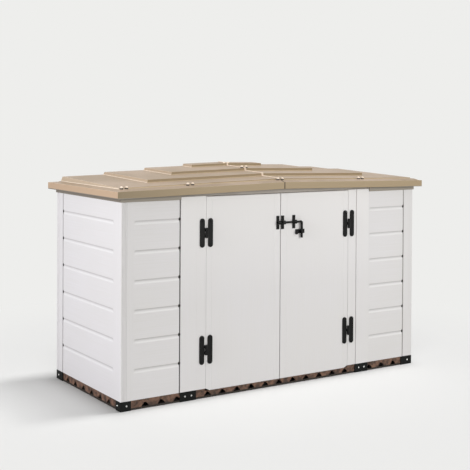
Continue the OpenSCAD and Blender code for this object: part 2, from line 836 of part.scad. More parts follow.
// The sloped border on the rim of the right half, with its foot sunk below the rim's top
module bevel_block() {
    sink = 3;
    spread = sink * bevel_run / bevel_h;
    y1 = roof_y - bevel_out;
    y3 = roof_y - rear_ledge;
    wide = roof_x - bevel_out + spread;
    narrow = roof_x - bevel_out - bevel_run;
    function at(x, y, up) = [x, y, rim_z(x) + up];
    block(
        [at(0, -y1 - spread, -sink), at(wide, -y1 - spread, -sink), at(wide, y3 + sink, -sink),
            at(0, y3 + sink, -sink)],
        [at(0, -y1 + bevel_run, bevel_h), at(narrow, -y1 + bevel_run, bevel_h),
            at(narrow, y3 - bevel_h, bevel_h), at(0, y3 - bevel_h, bevel_h)]);
}

cut_height = 400;
// The right half of the roof: a shell that is open below and rests on the wall tops and the beam
module roof_half() {
    lip_low = wall_top - lip_drop;
    gap = 1;
    color(roof_tan)
        difference() {
            union() {
                difference() {
                    rim_block(0, 0, rim_low);
                    // The rim's lower edge rises towards the middle
                    rotate([90, 0, 0])
                        translate([0, 0, -roof_y - e])
                            linear_extrude(2 * (roof_y + e))
                                polygon([[-e, rim_low - e], [roof_x + e, rim_low - e],
                                    [roof_x + e, rim_low], [roof_x, rim_low],
                                    [0, rim_low + rim_rise], [-e, rim_low + rim_rise]]);
                }
                bevel_block();
                for (k = [0 : terraces - 1]) terrace_outside(k, rim_top - 1);
                translate([0, -wy - gap - skin, lip_low])
                    cube([wx + gap + skin, wall_d + 2 * (gap + skin), rim_top - lip_low]);
            }
            // Room for the walls, the rails and the beam
            translate([-e, -wy - gap, lip_low - e])
                cube([wx + gap + e, wall_d + 2 * gap, wall_top - lip_low + e]);
            translate([skin + seam_gap / 2, -wy + seat, wall_top - e])
                cube([wx - seat - skin - seam_gap / 2, wall_d - 2 * seat, rim_top - skin - wall_top + e]);
            for (k = [0 : terraces - 1]) terrace_inside(k, wall_top - e);
            // The channel between the rim and the lip
            channel(lip_low - e);
            // The gap at the seam
            translate([-e, -roof_y - e, lip_low - e])
                cube([seam_gap / 2 + e, 2 * (roof_y + e), cut_height]);
            // The lip ends beside the door posts
            translate([-e, -roof_y + skin, lip_low - e])
                cube([panel_x + e, overhang, rim_low - lip_low + rim_rise]);
        }
}
// The space inside the rim, between its fascia and the lip
module channel(z_low) {
    inner_x = wx + 1 + skin;
    inner_y = wy + 1 + skin;
    difference() {
        rim_block(skin, skin, z_low);
        translate([-e, -inner_y, z_low - e]) cube([inner_x + e, 2 * inner_y, rim_h + lip_drop + rim_rise]);
    }
}
module roof_right() { roof_half(); }
module roof_left() { mirror([1, 0, 0]) roof_half(); }

// The raised cap that follows the steps along the seam
module seam_cap() {
    half = cap_w / 2;
    color(roof_tan)
        difference() {
            union() {
                for (k = [0 : terraces - 1])
                    translate([0, 0, cap_h]) {
                        cap_piece(k, half);
                        mirror([1, 0, 0]) cap_piece(k, half);
                    }
            }
            for (s = [0, 1]) mirror([s, 0, 0]) {
                for (k = [0 : terraces - 1]) terrace_outside(k, rim_top - 20);
                rim_block(0, 0, rim_top - 20);
                bevel_block();
            }
        }
}
module cap_piece(k, half) {
    y0 = tread_y(k) - cap_h;
    r0 = tread_rear(k, 0, 0, 0);
    r1 = tread_rear(k, half, 0, 0);
    foot = rear_sum(k) - rim_top;
    block(
        [[0, y0, rim_top], [half, y0, rim_top], [half, foot, rim_top], [0, foot, rim_top]],
        [[0, y0, tread_z(k, 0, y0)], [half, y0, tread_z(k, half, y0)],
            [half, r1, tread_z(k, half, r1)], [0, r0, tread_z(k, 0, r0)]]);
}

// Clearance under the tilted heads of the roof screws
head_lift = 0.05;
// Pairs of screws that hold the roof: at the left corner, along the front edge and along the seam
module roof_screw(x, y, z, rise_x, rise_y) {
    translate([x, y, z + head_lift])
        rotate([atan(rise_y), sign(x) * atan(rise_x), 0])
            rotate([-90, 0, 0]) pan_head(roof_screw_d, roof_screw_h);
}
module ledge_pair(x) {
    for (s = [-0.5, 0.5]) {
        px = x + s * pair_gap;
        roof_screw(px, ledge_y, rim_z(abs(px)) + bevel_h, rim_slope, 0);
    }
}
module seam_pair(k) {
    y = tread_y(k) + 12;
    z = tread_z(k, pair_gap / 2, y);
    for (s = [-0.5, 0.5]) roof_screw(s * pair_gap, y, z, slope_x, slope_y);
}
module roof_screws() {
    color(steel) {
        ledge_pair(-terrace_x + 19);
        for (x = [-pair_x, 0, pair_x]) ledge_pair(x);
        for (k = [2 : terraces - 1]) seam_pair(k);
    }
}

floor_left();
floor_right();
floor_runners_left();
floor_runners_right();
plinth_front();
plinth_rear();
plinth_left();
plinth_right();
foot_front_left();
foot_front_right();
foot_rear_left();
foot_rear_right();
foot_door_left();
foot_door_right();
foot_rear_middle();
foot_screws();
corner_post_front_left();
corner_post_front_right();
corner_post_rear_left();
corner_post_rear_right();
door_post_left();
door_post_right();
jamb_left();
jamb_right();
rear_post();
front_panel_left();
front_panel_right();
side_panel_left();
side_panel_right();
rear_panel_left();
rear_panel_right();
lintel();
rail_left();
rail_right();
rail_rear();
roof_beam();
roof_left();
roof_right();
seam_cap();
roof_screws();
left_door();
right_door();
hinge_plate_left_upper();
hinge_plate_left_lower();
hinge_plate_right_upper();
hinge_plate_right_lower();
hinge_leaf_left_upper();
hinge_leaf_left_lower();
hinge_leaf_right_upper();
hinge_leaf_right_lower();
hinge_pins();
jamb_screws();
left_door_screws();
right_door_screws();
bolt_keeper();
bolt_guide_inner();
bolt_guide_outer();
lock_plate();
lock_ear();
bolt_rod();
bolt_handle();
handle_spigot();
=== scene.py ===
import bpy
import bmesh
import json
import math
from mathutils import Matrix, Vector

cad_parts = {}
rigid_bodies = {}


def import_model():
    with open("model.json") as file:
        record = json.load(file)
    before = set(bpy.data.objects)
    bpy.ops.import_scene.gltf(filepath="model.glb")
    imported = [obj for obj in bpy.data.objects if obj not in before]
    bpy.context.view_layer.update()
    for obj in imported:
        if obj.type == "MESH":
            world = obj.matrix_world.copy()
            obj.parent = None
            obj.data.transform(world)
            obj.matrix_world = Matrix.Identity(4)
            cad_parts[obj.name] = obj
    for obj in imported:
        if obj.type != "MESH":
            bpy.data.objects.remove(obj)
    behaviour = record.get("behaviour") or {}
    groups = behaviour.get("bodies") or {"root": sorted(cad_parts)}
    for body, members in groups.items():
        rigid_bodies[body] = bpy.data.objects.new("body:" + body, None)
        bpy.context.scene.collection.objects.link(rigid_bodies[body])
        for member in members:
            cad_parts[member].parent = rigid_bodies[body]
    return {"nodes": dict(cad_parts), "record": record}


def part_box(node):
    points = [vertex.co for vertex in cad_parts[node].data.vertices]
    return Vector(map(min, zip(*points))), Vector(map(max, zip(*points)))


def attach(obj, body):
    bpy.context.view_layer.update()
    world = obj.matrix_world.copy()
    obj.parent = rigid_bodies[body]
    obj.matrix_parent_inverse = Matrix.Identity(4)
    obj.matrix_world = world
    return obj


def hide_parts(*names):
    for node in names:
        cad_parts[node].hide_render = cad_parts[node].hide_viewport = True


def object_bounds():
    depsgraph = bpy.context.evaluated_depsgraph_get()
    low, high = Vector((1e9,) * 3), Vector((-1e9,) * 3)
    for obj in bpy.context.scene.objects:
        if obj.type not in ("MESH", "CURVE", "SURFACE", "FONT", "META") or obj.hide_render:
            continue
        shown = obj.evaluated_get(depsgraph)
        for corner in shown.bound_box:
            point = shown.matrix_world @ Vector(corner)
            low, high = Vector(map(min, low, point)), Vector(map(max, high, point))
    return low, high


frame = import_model()
boxBefore = [list(corner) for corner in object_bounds()]
mm = 0.001


def toLinear(hexText):
    parts = [int(hexText[i:i + 2], 16) / 255 for i in (1, 3, 5)]
    return [c / 12.92 if c <= 0.04045 else ((c + 0.055) / 1.055) ** 2.4 for c in parts] + [1.0]


def addNode(tree, kind, inputs=None, **settings):
    node = tree.nodes.new(kind)
    for name, value in settings.items():
        setattr(node, name, value)
    for key, value in (inputs or {}).items():
        if isinstance(value, bpy.types.NodeSocket):
            tree.links.new(value, node.inputs[key])
        else:
            node.inputs[key].default_value = value
    return node


# Materials. Each starts from the real plastic or metal and how its surface was made.

def newMaterial(name):
    material = bpy.data.materials.new(name)
    material.use_nodes = True
    tree = material.node_tree
    tree.nodes.clear()
    shader = addNode(tree, "ShaderNodeBsdfPrincipled")
    addNode(tree, "ShaderNodeOutputMaterial", {"Surface": shader.outputs["BSDF"]})
    return material, tree, shader


def dressShader(tree, shader, base, layers, pattern, finish):
    # layers are shares and colours, laid over the base in turn; gloss and relief follow the pattern
    # a Mix node for colours has its share at input 0 and its colours at 6 and 7
    colour = toLinear(base)
    for share, over in layers:
        colour = addNode(tree, "ShaderNodeMix", {0: share, 6: colour, 7: over}, data_type="RGBA").outputs[2]
    smooth, rough = finish["roughness"]
    gloss = addNode(tree, "ShaderNodeMapRange", {"Value": pattern, "From Min": 0.3, "From Max": 0.7,
                                                 "To Min": smooth, "To Max": rough}).outputs["Result"]
    tree.links.new(colour, shader.inputs["Base Color"])
    tree.links.new(gloss, shader.inputs["Roughness"])
    if "grainHeight" in finish:
        bump = addNode(tree, "ShaderNodeBump",
                       {"Height": pattern, "Strength": finish.get("grainStrength", 0.4),
                        "Distance": finish["grainHeight"]})
        tree.links.new(bump.outputs["Normal"], shader.inputs["Normal"])


wallFinish = {
    "resins": {              # light and shade of the clouded resin, and the axes that its grain follows
        "plankResin": ("#ebe9ea", "#e7e5e4", "XY"),
        "uprightResin": ("#ebe9ea", "#e9e7e6", "Z"),
        "cornerResin": ("#ebe9ea", "#e7e5e4", "Z"),
    },
    "clean": "#f4f2f1",      # painted light: the doors and posts grow lighter toward the roof
    "cleanFrom": 0.55, "cleanTo": 1.12,
    "groove": "#cbc8c8",     # painted shade in the grooves and flutes
    "edge": "#f4f3f3",       # painted highlight on the rounded upper edge of a plank
    "grainAlong": 3.0,       # streaks per metre along the grain
    "grainAcross": 260.0,    # streaks per metre across it
    "cloudScale": 1.7,
    "roughness": (0.42, 0.56),
    "grainHeight": 0.00006, "grainStrength": 0.2,
    "ior": 1.49,
}


def makeWallResin(name):
    # Polypropylene, injection moulded in a tool with a faint wood grain: low gloss, with soft streaks
    material, tree, shader = newMaterial(name)
    place = addNode(tree, "ShaderNodeTexCoord").outputs["Object"]
    light, shade, along = wallFinish["resins"][name]
    scales = [wallFinish["grainAlong" if axis in along else "grainAcross"] for axis in "XYZ"]
    stretched = addNode(tree, "ShaderNodeMapping", {"Vector": place, "Scale": scales}).outputs["Vector"]
    grain = addNode(tree, "ShaderNodeTexNoise", {"Vector": stretched, "Scale": 1.0, "Detail": 4.0,
                                                 "Roughness": 0.6}).outputs["Fac"]
    cloud = addNode(tree, "ShaderNodeTexNoise", {"Vector": place, "Scale": wallFinish["cloudScale"],
                                                 "Detail": 2.0}).outputs["Fac"]
    both = addNode(tree, "ShaderNodeMath", {0: grain, 1: cloud}, operation="ADD").outputs[0]
    tone = addNode(tree, "ShaderNodeMapRange", {"Value": both, "From Min": 0.75, "From Max": 1.25})
    layers = [(tone.outputs["Result"], toLinear(shade))]
    if name == "uprightResin":
        # painted light: the doors and posts grow lighter toward the roof
        height = addNode(tree, "ShaderNodeSeparateXYZ", {"Vector": place}).outputs["Z"]
        clean = addNode(tree, "ShaderNodeMapRange", {"Value": height, "From Min": wallFinish["cleanFrom"],
                                                     "From Max": wallFinish["cleanTo"]})
        layers.append((clean.outputs["Result"], toLinear(wallFinish["clean"])))
    else:
        # painted shade in the grooves and flutes
        dark = addNode(tree, "ShaderNodeAttribute", attribute_name="grooveDark")
        layers.append((dark.outputs["Fac"], toLinear(wallFinish["groove"])))
    if name == "plankResin":
        # painted highlight on the rounded upper edge of each plank
        clean = addNode(tree, "ShaderNodeAttribute", attribute_name="edgeClean")
        layers.append((clean.outputs["Fac"], toLinear(wallFinish["edge"])))
    dressShader(tree, shader, light, layers, grain, wallFinish)
    shader.inputs["IOR"].default_value = wallFinish["ior"]
    return material


resinFinishes = {
    "roofResin": {           # Polypropylene, sand coloured, moulded with a fine leather grain
        "light": "#9c8874", "shade": "#8c7963", "cloudScale": 3.2, "grainScale": 420.0,
        "grainHeight": 0.0003, "roughness": (0.42, 0.58),
        "side": ("#c4a88b", "#c6b39a"), "front": ("#ad997a", "#9a8768"),    # painted light and shade by the way a face looks: on the rim, on the terraces
        "frontEnd": (-1.05, -0.5, "#98876b"),    # painted shade toward the left end of the rim's front
        "below": (1.1136, "#a29a8e", "#80786d"),    # painted shade on the lip under the rim, in front and at the sides
        "bands": (("X", 0.0015, 0.0045, "#3a2e22"),)},    # painted shadow line by the seam: full within, none beyond
    "roofEdgeResin": {       # The same resin with painted highlights, for the rounded edges and the beads
        "light": "#bda995", "shade": "#b29f8a", "cloudScale": 9.0, "grainScale": 420.0,
        "grainHeight": 0.0003, "roughness": (0.42, 0.55),
        "side": ("#e6d2b8", "#ecdfcb"), "front": ("#b9a789", "#b09c7d"),
        "frontEnd": (-1.05, -0.5, "#a39378"),
        "below": (1.1136, "#8c8378", "#70695f"),
        "bands": (("X", 0.0015, 0.0045, "#3a2e22"),)},
    "capResin": {            # The same resin in a cream shade, for the cap along the seam and the screw caps
        "light": "#e6d7c4", "shade": "#d9c6b0", "cloudScale": 40.0, "grainScale": 420.0,
        "grainHeight": 0.0002, "roughness": (0.4, 0.5)},
    "lintelResin": {         # The wall's polypropylene, greyed with painted shade under the roof's rim
        "light": "#c0b9b1", "shade": "#b3aca4", "cloudScale": 5.0, "grainScale": 420.0,
        "grainHeight": 0.0001, "roughness": (0.5, 0.62)},
    "plinthResin": {         # Recycled polypropylene, brown, with uneven colour from the melt
        "light": "#83624f", "shade": "#413027", "cloudScale": 34.0, "grainScale": 260.0,
        "grainHeight": 0.0005, "roughness": (0.5, 0.72),
        # painted shade along the plinth's foot
        "bands": (("Z", 0.0095, 0.013, "#2b241e"),)},
    "floorResin": {          # The same brown, from a steadier melt
        "light": "#6d5344", "shade": "#5f4739", "cloudScale": 2.6, "grainScale": 260.0,
        "grainHeight": 0.0004, "roughness": (0.5, 0.66)},
    "footNylon": {           # Nylon, black, moulded and slightly textured
        "light": "#0c0f0e", "shade": "#070908", "cloudScale": 14.0, "grainScale": 500.0,
        "grainHeight": 0.0002, "roughness": (0.5, 0.62), "shine": 0.2},
    "powderCoat": {          # Steel under a black powder coat, with its fine orange peel
        "light": "#0a0a0a", "shade": "#050505", "cloudScale": 20.0, "grainScale": 900.0,
        "grainHeight": 0.00015, "roughness": (0.4, 0.52), "shine": 0.24},
    "slotResin": {           # Painted shade, lighter, for the slots that the light reaches
        "light": "#a8a4a1", "shade": "#9c9895", "cloudScale": 9.0, "grainScale": 300.0,
        "grainHeight": 0.0002, "roughness": (0.6, 0.8)},
    "shadowPlastic": {       # Painted shade: the dark of the open snap slots between panel and post, and of other hollows
        "light": "#2c2927", "shade": "#1d1b1a", "cloudScale": 9.0, "grainScale": 300.0,
        "grainHeight": 0.0002, "roughness": (0.6, 0.8)},
}


rimPlane = {"slope": 20.0 / 1052.0, "height": 1.1725}    # parts the rim from the terraces; height at the seam


def makeResin(name):
    finish = resinFinishes[name]
    material, tree, shader = newMaterial(name)
    place = addNode(tree, "ShaderNodeTexCoord").outputs["Object"]
    where = addNode(tree, "ShaderNodeSeparateXYZ", {"Vector": place}).outputs
    cloud = addNode(tree, "ShaderNodeTexNoise", {"Vector": place, "Scale": finish["cloudScale"],
                                                 "Detail": 5.0, "Roughness": 0.55}).outputs["Fac"]
    grain = addNode(tree, "ShaderNodeTexNoise", {"Vector": place, "Scale": finish["grainScale"],
                                                 "Detail": 2.0}).outputs["Fac"]
    tone = addNode(tree, "ShaderNodeMapRange", {"Value": cloud, "From Min": 0.35, "From Max": 0.65},
                   interpolation_type="SMOOTHSTEP")
    layers = [(tone.outputs["Result"], toLinear(finish["shade"]))]
    if "side" in finish:
        # painted light and shade: the tone follows the way a face looks, and differs on the rim and on the
        # terraces
        normal = addNode(tree, "ShaderNodeNewGeometry").outputs["Normal"]
        squares = addNode(tree, "ShaderNodeVectorMath", {0: normal, 1: normal}, operation="MULTIPLY")
        squares = addNode(tree, "ShaderNodeSeparateXYZ", {"Vector": squares.outputs["Vector"]}).outputs
        aside = addNode(tree, "ShaderNodeMath", {0: where["X"]}, operation="ABSOLUTE").outputs[0]
        fall = addNode(tree, "ShaderNodeMath", {0: rimPlane["slope"], 1: aside},
                       operation="MULTIPLY").outputs[0]
        level = addNode(tree, "ShaderNodeMath", {0: rimPlane["height"], 1: fall},
                        operation="SUBTRACT").outputs[0]
        onTerrace = addNode(tree, "ShaderNodeMath", {0: where["Z"], 1: level},
                            operation="GREATER_THAN").outputs[0]
        # painted shade toward the left end of the rim's front
        full, none, endTone = finish["frontEnd"]
        nearEnd = addNode(tree, "ShaderNodeMapRange",
                          {"Value": where["X"], "From Min": full, "From Max": none,
                           "To Min": 1.0, "To Max": 0.0}).outputs["Result"]
        for axis, key in (("X", "side"), ("Y", "front")):
            rimTone, terraceTone = (toLinear(shade) for shade in finish[key])
            if key == "front":
                rimTone = addNode(tree, "ShaderNodeMix", {0: nearEnd, 6: rimTone, 7: toLinear(endTone)},
                                  data_type="RGBA").outputs[2]
            tone = addNode(tree, "ShaderNodeMix", {0: onTerrace, 6: rimTone, 7: terraceTone},
                           data_type="RGBA")
            share = addNode(tree, "ShaderNodeMapRange", {"Value": squares[axis], "From Min": 0.04,
                                                         "From Max": 0.45})
            layers.append((share.outputs["Result"], tone.outputs[2]))
        # painted shade on the lip under the rim
        level, frontTone, sideTone = finish["below"]
        shaded = addNode(tree, "ShaderNodeMix",
                         {0: squares["X"], 6: toLinear(frontTone), 7: toLinear(sideTone)},
                         data_type="RGBA")
        isBelow = addNode(tree, "ShaderNodeMath", {0: where["Z"], 1: level}, operation="LESS_THAN")
        layers.append((isBelow.outputs[0], shaded.outputs[2]))
    for axis, full, none, dark in finish.get("bands", ()):
        # painted shade within a few millimetres of a plane
        reach = addNode(tree, "ShaderNodeMath", {0: where[axis]}, operation="ABSOLUTE").outputs[0]
        share = addNode(tree, "ShaderNodeMapRange", {"Value": reach, "From Min": full, "From Max": none,
                                                     "To Min": 1.0, "To Max": 0.0})
        layers.append((share.outputs["Result"], toLinear(dark)))
    dressShader(tree, shader, finish["light"], layers, grain, finish)
    shader.inputs["Specular IOR Level"].default_value = finish.get("shine", 0.5)
    return material


zincFinish = {"light": "#f4f4f0", "shade": "#d6d7d4", "cloudScale": 180.0, "roughness": (0.24, 0.42)}


def makeZincSteel():
    # Bright zinc plate on steel: a cool metal with small cloudy changes in gloss
    material, tree, shader = newMaterial("zincSteel")
    place = addNode(tree, "ShaderNodeTexCoord").outputs["Object"]
    cloud = addNode(tree, "ShaderNodeTexNoise", {"Vector": place, "Scale": zincFinish["cloudScale"],
                                                 "Detail": 3.0}).outputs["Fac"]
    layers = [(cloud, toLinear(zincFinish["shade"]))]
    dressShader(tree, shader, zincFinish["light"], layers, cloud, zincFinish)
    shader.inputs["Metallic"].default_value = 1.0
    return material


finishes = {name: makeWallResin(name) for name in wallFinish["resins"]}
finishes.update({name: makeResin(name) for name in resinFinishes})
finishes["zincSteel"] = makeZincSteel()
print("materials:", len(finishes))


# Pieces that keep their CAD shape get soft moulded edges

edgeRule = {
    "bevelFrom": 32.0,       # degrees: a sharper bend than this is rounded
    "mergeWithin": 0.00001,  # metres: closer points are one
    "flatWithin": 0.2,       # degrees: flatter faces are one
}


def newPiece(name, mesh, material):
    piece = bpy.data.objects.new(name, mesh)
    bpy.context.scene.collection.objects.link(piece)
    if material:
        mesh.materials.clear()
        mesh.materials.append(material)
    return piece


def bakeModifiers(piece):
    bpy.context.view_layer.update()
    evaluated = piece.evaluated_get(bpy.context.evaluated_depsgraph_get())
    baked = bpy.data.meshes.new_from_object(evaluated)
    old = piece.data
    piece.modifiers.clear()
    piece.data = baked
    bpy.data.meshes.remove(old)
    return piece


def mergedCopy(node, keepFaces=False):
    mesh = frame["nodes"][node].data.copy()
    if "custom_normal" in mesh.attributes:
        mesh.attributes.remove(mesh.attributes["custom_normal"])
    work = bmesh.new()
    work.from_mesh(mesh)
    bmesh.ops.remove_doubles(work, verts=work.verts, dist=edgeRule["mergeWithin"])
    if not keepFaces:    # a face with pockets cut into it can't be one polygon
        bmesh.ops.dissolve_limit(work, angle_limit=math.radians(edgeRule["flatWithin"]), verts=work.verts,
                                 edges=work.edges)
    work.to_mesh(mesh)
    work.free()
    return mesh


def softPiece(name, node, material, width, segments, body):
    isDoor = node.endswith("_door")
    piece = newPiece(name, mergedCopy(node, isDoor), finishes[material])
    bevel = piece.modifiers.new("edges", "BEVEL")
    bevel.width = width * mm
    bevel.segments = segments
    bevel.limit_method = "ANGLE"
    bevel.angle_limit = math.radians(edgeRule["bevelFrom"])
    bevel.miter_outer = "MITER_ARC"
    if material == "roofResin":    # the rounded edges get painted highlights
        piece.data.materials.append(finishes["roofEdgeResin"])
        bevel.material = 1
    if not isDoor:
        weighted = piece.modifiers.new("shading", "WEIGHTED_NORMAL")
        weighted.keep_sharp = True
    for face in piece.data.polygons:
        face.use_smooth = not isDoor
    bakeModifiers(piece)
    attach(piece, body)
    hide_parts(node)


bodyOf = {node: body for body, nodes in frame["record"]["behaviour"]["bodies"].items() for node in nodes}
softEdges = {   # start of a node's name: material, edge radius in mm, segments
    "door_post_left": ("uprightResin", 0.4, 2),
    "rear_post": ("uprightResin", 0.4, 2),
    "jamb": ("uprightResin", 0.4, 2),
    "left_door": ("uprightResin", 1.8, 3),
    "right_door": ("uprightResin", 1.8, 3),
    "roof_left": ("roofResin", 5.0, 3),
    "roof_right": ("roofResin", 5.0, 3),
    "seam_cap": ("capResin", 1.5, 2),
    "lintel": ("lintelResin", 0.8, 2),
    "rail": ("uprightResin", 1.5, 2),
    "roof_beam": ("uprightResin", 1.5, 2),
    # the black nylon on the runners is painted shade behind the plinth's arches
    "floor_runners": ("footNylon", 1.0, 2),
    "floor": ("floorResin", 1.0, 2),
    "plinth": ("plinthResin", 1.2, 2),
    "foot": ("footNylon", 1.4, 3),
    "hinge_plate": ("powderCoat", 1.0, 3),
    "hinge_leaf": ("powderCoat", 1.0, 3),
    "hinge_pins": ("powderCoat", 0.6, 2),
    "bolt": ("powderCoat", 0.8, 3),
    "lock": ("powderCoat", 0.8, 3),
    "handle_spigot": ("powderCoat", 0.5, 2),
}


def camel(text):
    words = text.split("_")
    return words[0] + "".join(word.capitalize() for word in words[1:])


softCount = 0
for node in frame["nodes"]:
    for start, (material, width, segments) in softEdges.items():
        if node.startswith(start) and not node.endswith("screws"):
            softPiece(camel(node) + "Soft", node, material, width, segments, bodyOf[node])
            softCount += 1
            break
print("pieces with soft edges:", softCount)


# Corner posts: an angle with a rounded corner and fine flutes on its broad face

cornerPost = {
    "thickness": 22.0,
    "cornerRadius": 3.0, "cornerSteps": 4,
    "fluteStarts": (7.0, 15.0, 23.0, 31.0),
    "fluteWidth": 4.0, "fluteDepth": 1.6,
    "fluteProfile": ((0.0, 0.0), (0.3, 1.0), (0.7, 1.0), (1.0, 0.0)),    # shares of its width and depth
    "fluteShade": 0.3, "faceShade": 0.05,    # shares of the groove's painted shade, in a flute and between the flutes
    "sharpAngle": 24.0,
}


def cornerOutline(fluted, plain):
    # the flutes are on the first face; each point is x, y and its share of the groove's tone
    radius, wall, steps = cornerPost["cornerRadius"], cornerPost["thickness"], cornerPost["cornerSteps"]
    outline = []
    for turn in range(steps + 1):
        angle = math.radians(180 + 90 * turn / steps)
        outline.append((radius + radius * math.cos(angle), radius + radius * math.sin(angle), 0))
    for start in cornerPost["fluteStarts"]:
        for share, depth in cornerPost["fluteProfile"]:
            outline.append((start + share * cornerPost["fluteWidth"], depth * cornerPost["fluteDepth"],
                            cornerPost["fluteShade"] if depth else cornerPost["faceShade"]))
    return outline + [(fluted, 0.0, 0), (fluted, wall, 0), (wall, wall, 0), (wall, plain, 0), (0.0, plain, 0)]


def makeCornerPost(node):
    low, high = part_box(node)
    sideX, sideY = math.copysign(1, low.x), math.copysign(1, low.y)
    wallX, wallY = max(abs(low.x), abs(high.x)), max(abs(low.y), abs(high.y))
    work = bmesh.new()
    marks = work.verts.layers.float.new("grooveDark")
    corners = []
    if sideX == sideY:
        outline = cornerOutline((high.x - low.x) / mm, (high.y - low.y) / mm)
    else:
        outline = [(x, y, mark) for y, x, mark in cornerOutline((high.y - low.y) / mm, (high.x - low.x) / mm)]
    for x, y, mark in outline:
        corner = work.verts.new((sideX * (wallX - x * mm), sideY * (wallY - y * mm), low.z))
        corner[marks] = mark
        corners.append(corner)
    face = work.faces.new(corners)
    raised = bmesh.ops.extrude_face_region(work, geom=[face])
    tops = [item for item in raised["geom"] if isinstance(item, bmesh.types.BMVert)]
    bmesh.ops.translate(work, verts=tops, vec=(0, 0, high.z - low.z))
    bmesh.ops.recalc_face_normals(work, faces=work.faces)
    mesh = bpy.data.meshes.new(camel(node))
    work.to_mesh(mesh)
    work.free()
    post = newPiece(camel(node) + "Soft", mesh, finishes["cornerResin"])
    for side in mesh.polygons:
        side.use_smooth = True
    mesh.set_sharp_from_angle(angle=math.radians(cornerPost["sharpAngle"]))
    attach(post, bodyOf[node])
    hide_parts(node)


# The right door post has an open joint where it meets its jamb

openPost = {"jointWidth": 6.0, "jointDepth": 7.0, "strip": 1.0}    # the strip is a dark sheet of painted shade deep in the joint


def makeOpenPost(node):
    low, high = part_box(node)
    joint, depth, strip = (openPost[key] * mm for key in ("jointWidth", "jointDepth", "strip"))
    outline = [(low.x, low.y + depth), (low.x + joint, low.y + depth), (low.x + joint, low.y),
               (high.x, low.y), (high.x, high.y), (low.x, high.y)]
    shadeStrip = [(low.x, low.y + depth - strip), (low.x + joint, low.y + depth - strip),
              (low.x + joint, low.y + depth), (low.x, low.y + depth)]
    work = bmesh.new()
    for number, corners in enumerate((outline, shadeStrip)):
        before = set(work.faces)
        face = work.faces.new([work.verts.new((x, y, low.z)) for x, y in corners])
        raised = bmesh.ops.extrude_face_region(work, geom=[face])
        tops = [item for item in raised["geom"] if isinstance(item, bmesh.types.BMVert)]
        bmesh.ops.translate(work, verts=tops, vec=(0, 0, high.z - low.z))
        for side in set(work.faces) - before:
            side.material_index = number
    bmesh.ops.recalc_face_normals(work, faces=work.faces)
    mesh = bpy.data.meshes.new(camel(node))
    work.to_mesh(mesh)
    work.free()
    post = newPiece(camel(node) + "Soft", mesh, finishes["uprightResin"])
    mesh.materials.append(finishes["shadowPlastic"])
    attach(post, bodyOf[node])
    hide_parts(node)


makeOpenPost("door_post_right")
cornerNodes = [node for node in frame["nodes"] if node.startswith("corner_post")]
for node in cornerNodes:
    makeCornerPost(node)
print("corner posts:", len(cornerNodes))


# Planked wall panels: the planks, their grooves and the snap slots follow one rule

plankedPanel = {
    "height": 1072.0,
    "thickness": 22.0,
    "plankHeight": 155.0,
    "lowestExtra": 5.0,
    "topTrim": 18.0,
    "planks": 7,
    "grooveAbove": 4.5,      # the flank that looks down
    "grooveBelow": 20.0,     # the channel and the flank that looks up
    "grooveDepth": 1.8,
    "fadeLength": 16.0,
    "slotWidth": 8.0,
    "slotDepth": 8.0,
    "fullSlot": 3.0,         # the panel beside the right door sits closer to its post
    "notchWidth": 12.0,
    "notchHeight": 18.0,
    "notchSides": 24, "notchProud": 0.4,
    "notchSink": 0.48,       # its middle, in slot depths behind the panel's face
    "columns": 48,
    "sharpAngle": 10.0,
}
plankRows = 8                # rows of faces on a plank
plankProfile = {             # stops across a plank, from the groove below it to the groove above it
    "rise": ((0.0, 0.0), (0.125, 0.7), (0.25, 1.0)),         # up the lower flank
    "drop": ((0.75, 0.0), (0.875, 0.32), (1.0, 1.0)),        # up the upper flank
    "deep": ((0.0, 1.0), (0.125, 0.7), (0.25, 0.0), (0.75, 0.0), (0.875, 0.9), (1.0, 1.0)),
    "grooveDark": ((0.0, 1.0), (0.125, 0.8), (0.25, 0.0)),
    "edgeClean": ((0.75, 0.0), (0.875, 1.0), (1.0, 0.0)),
}
panelSizes = ("Height", "Thickness", "Plank Height", "Lowest Extra", "Top Trim", "Groove Above",
              "Groove Below", "Groove Depth", "Fade Length", "Slot Width", "Slot Depth", "Notch Width",
              "Notch Height", "Notch Proud")


def newTree(name, floats, integers, materials):
    tree = bpy.data.node_groups.new(name, "GeometryNodeTree")
    tree.interface.new_socket(name="Geometry", in_out="INPUT", socket_type="NodeSocketGeometry")
    for label in floats:
        tree.interface.new_socket(name=label, in_out="INPUT", socket_type="NodeSocketFloat")
    for label in integers:
        tree.interface.new_socket(name=label, in_out="INPUT", socket_type="NodeSocketInt")
    for label in materials:
        tree.interface.new_socket(name=label, in_out="INPUT", socket_type="NodeSocketMaterial")
    tree.interface.new_socket(name="Geometry", in_out="OUTPUT", socket_type="NodeSocketGeometry")
    return tree, addNode(tree, "NodeGroupInput").outputs


def throughStops(tree, value, stops):
    # a line through the given stops, level before the first and after the last
    total = stops[0][1]
    for (start, low), (end, high) in zip(stops, stops[1:]):
        if low != high:
            rise = addNode(tree, "ShaderNodeMapRange", {"Value": value, "From Min": start, "From Max": end,
                                                        "To Min": 0.0, "To Max": high - low})
            total = addNode(tree, "ShaderNodeMath", {0: total, 1: rise.outputs["Result"]},
                            operation="ADD").outputs[0]
    return total


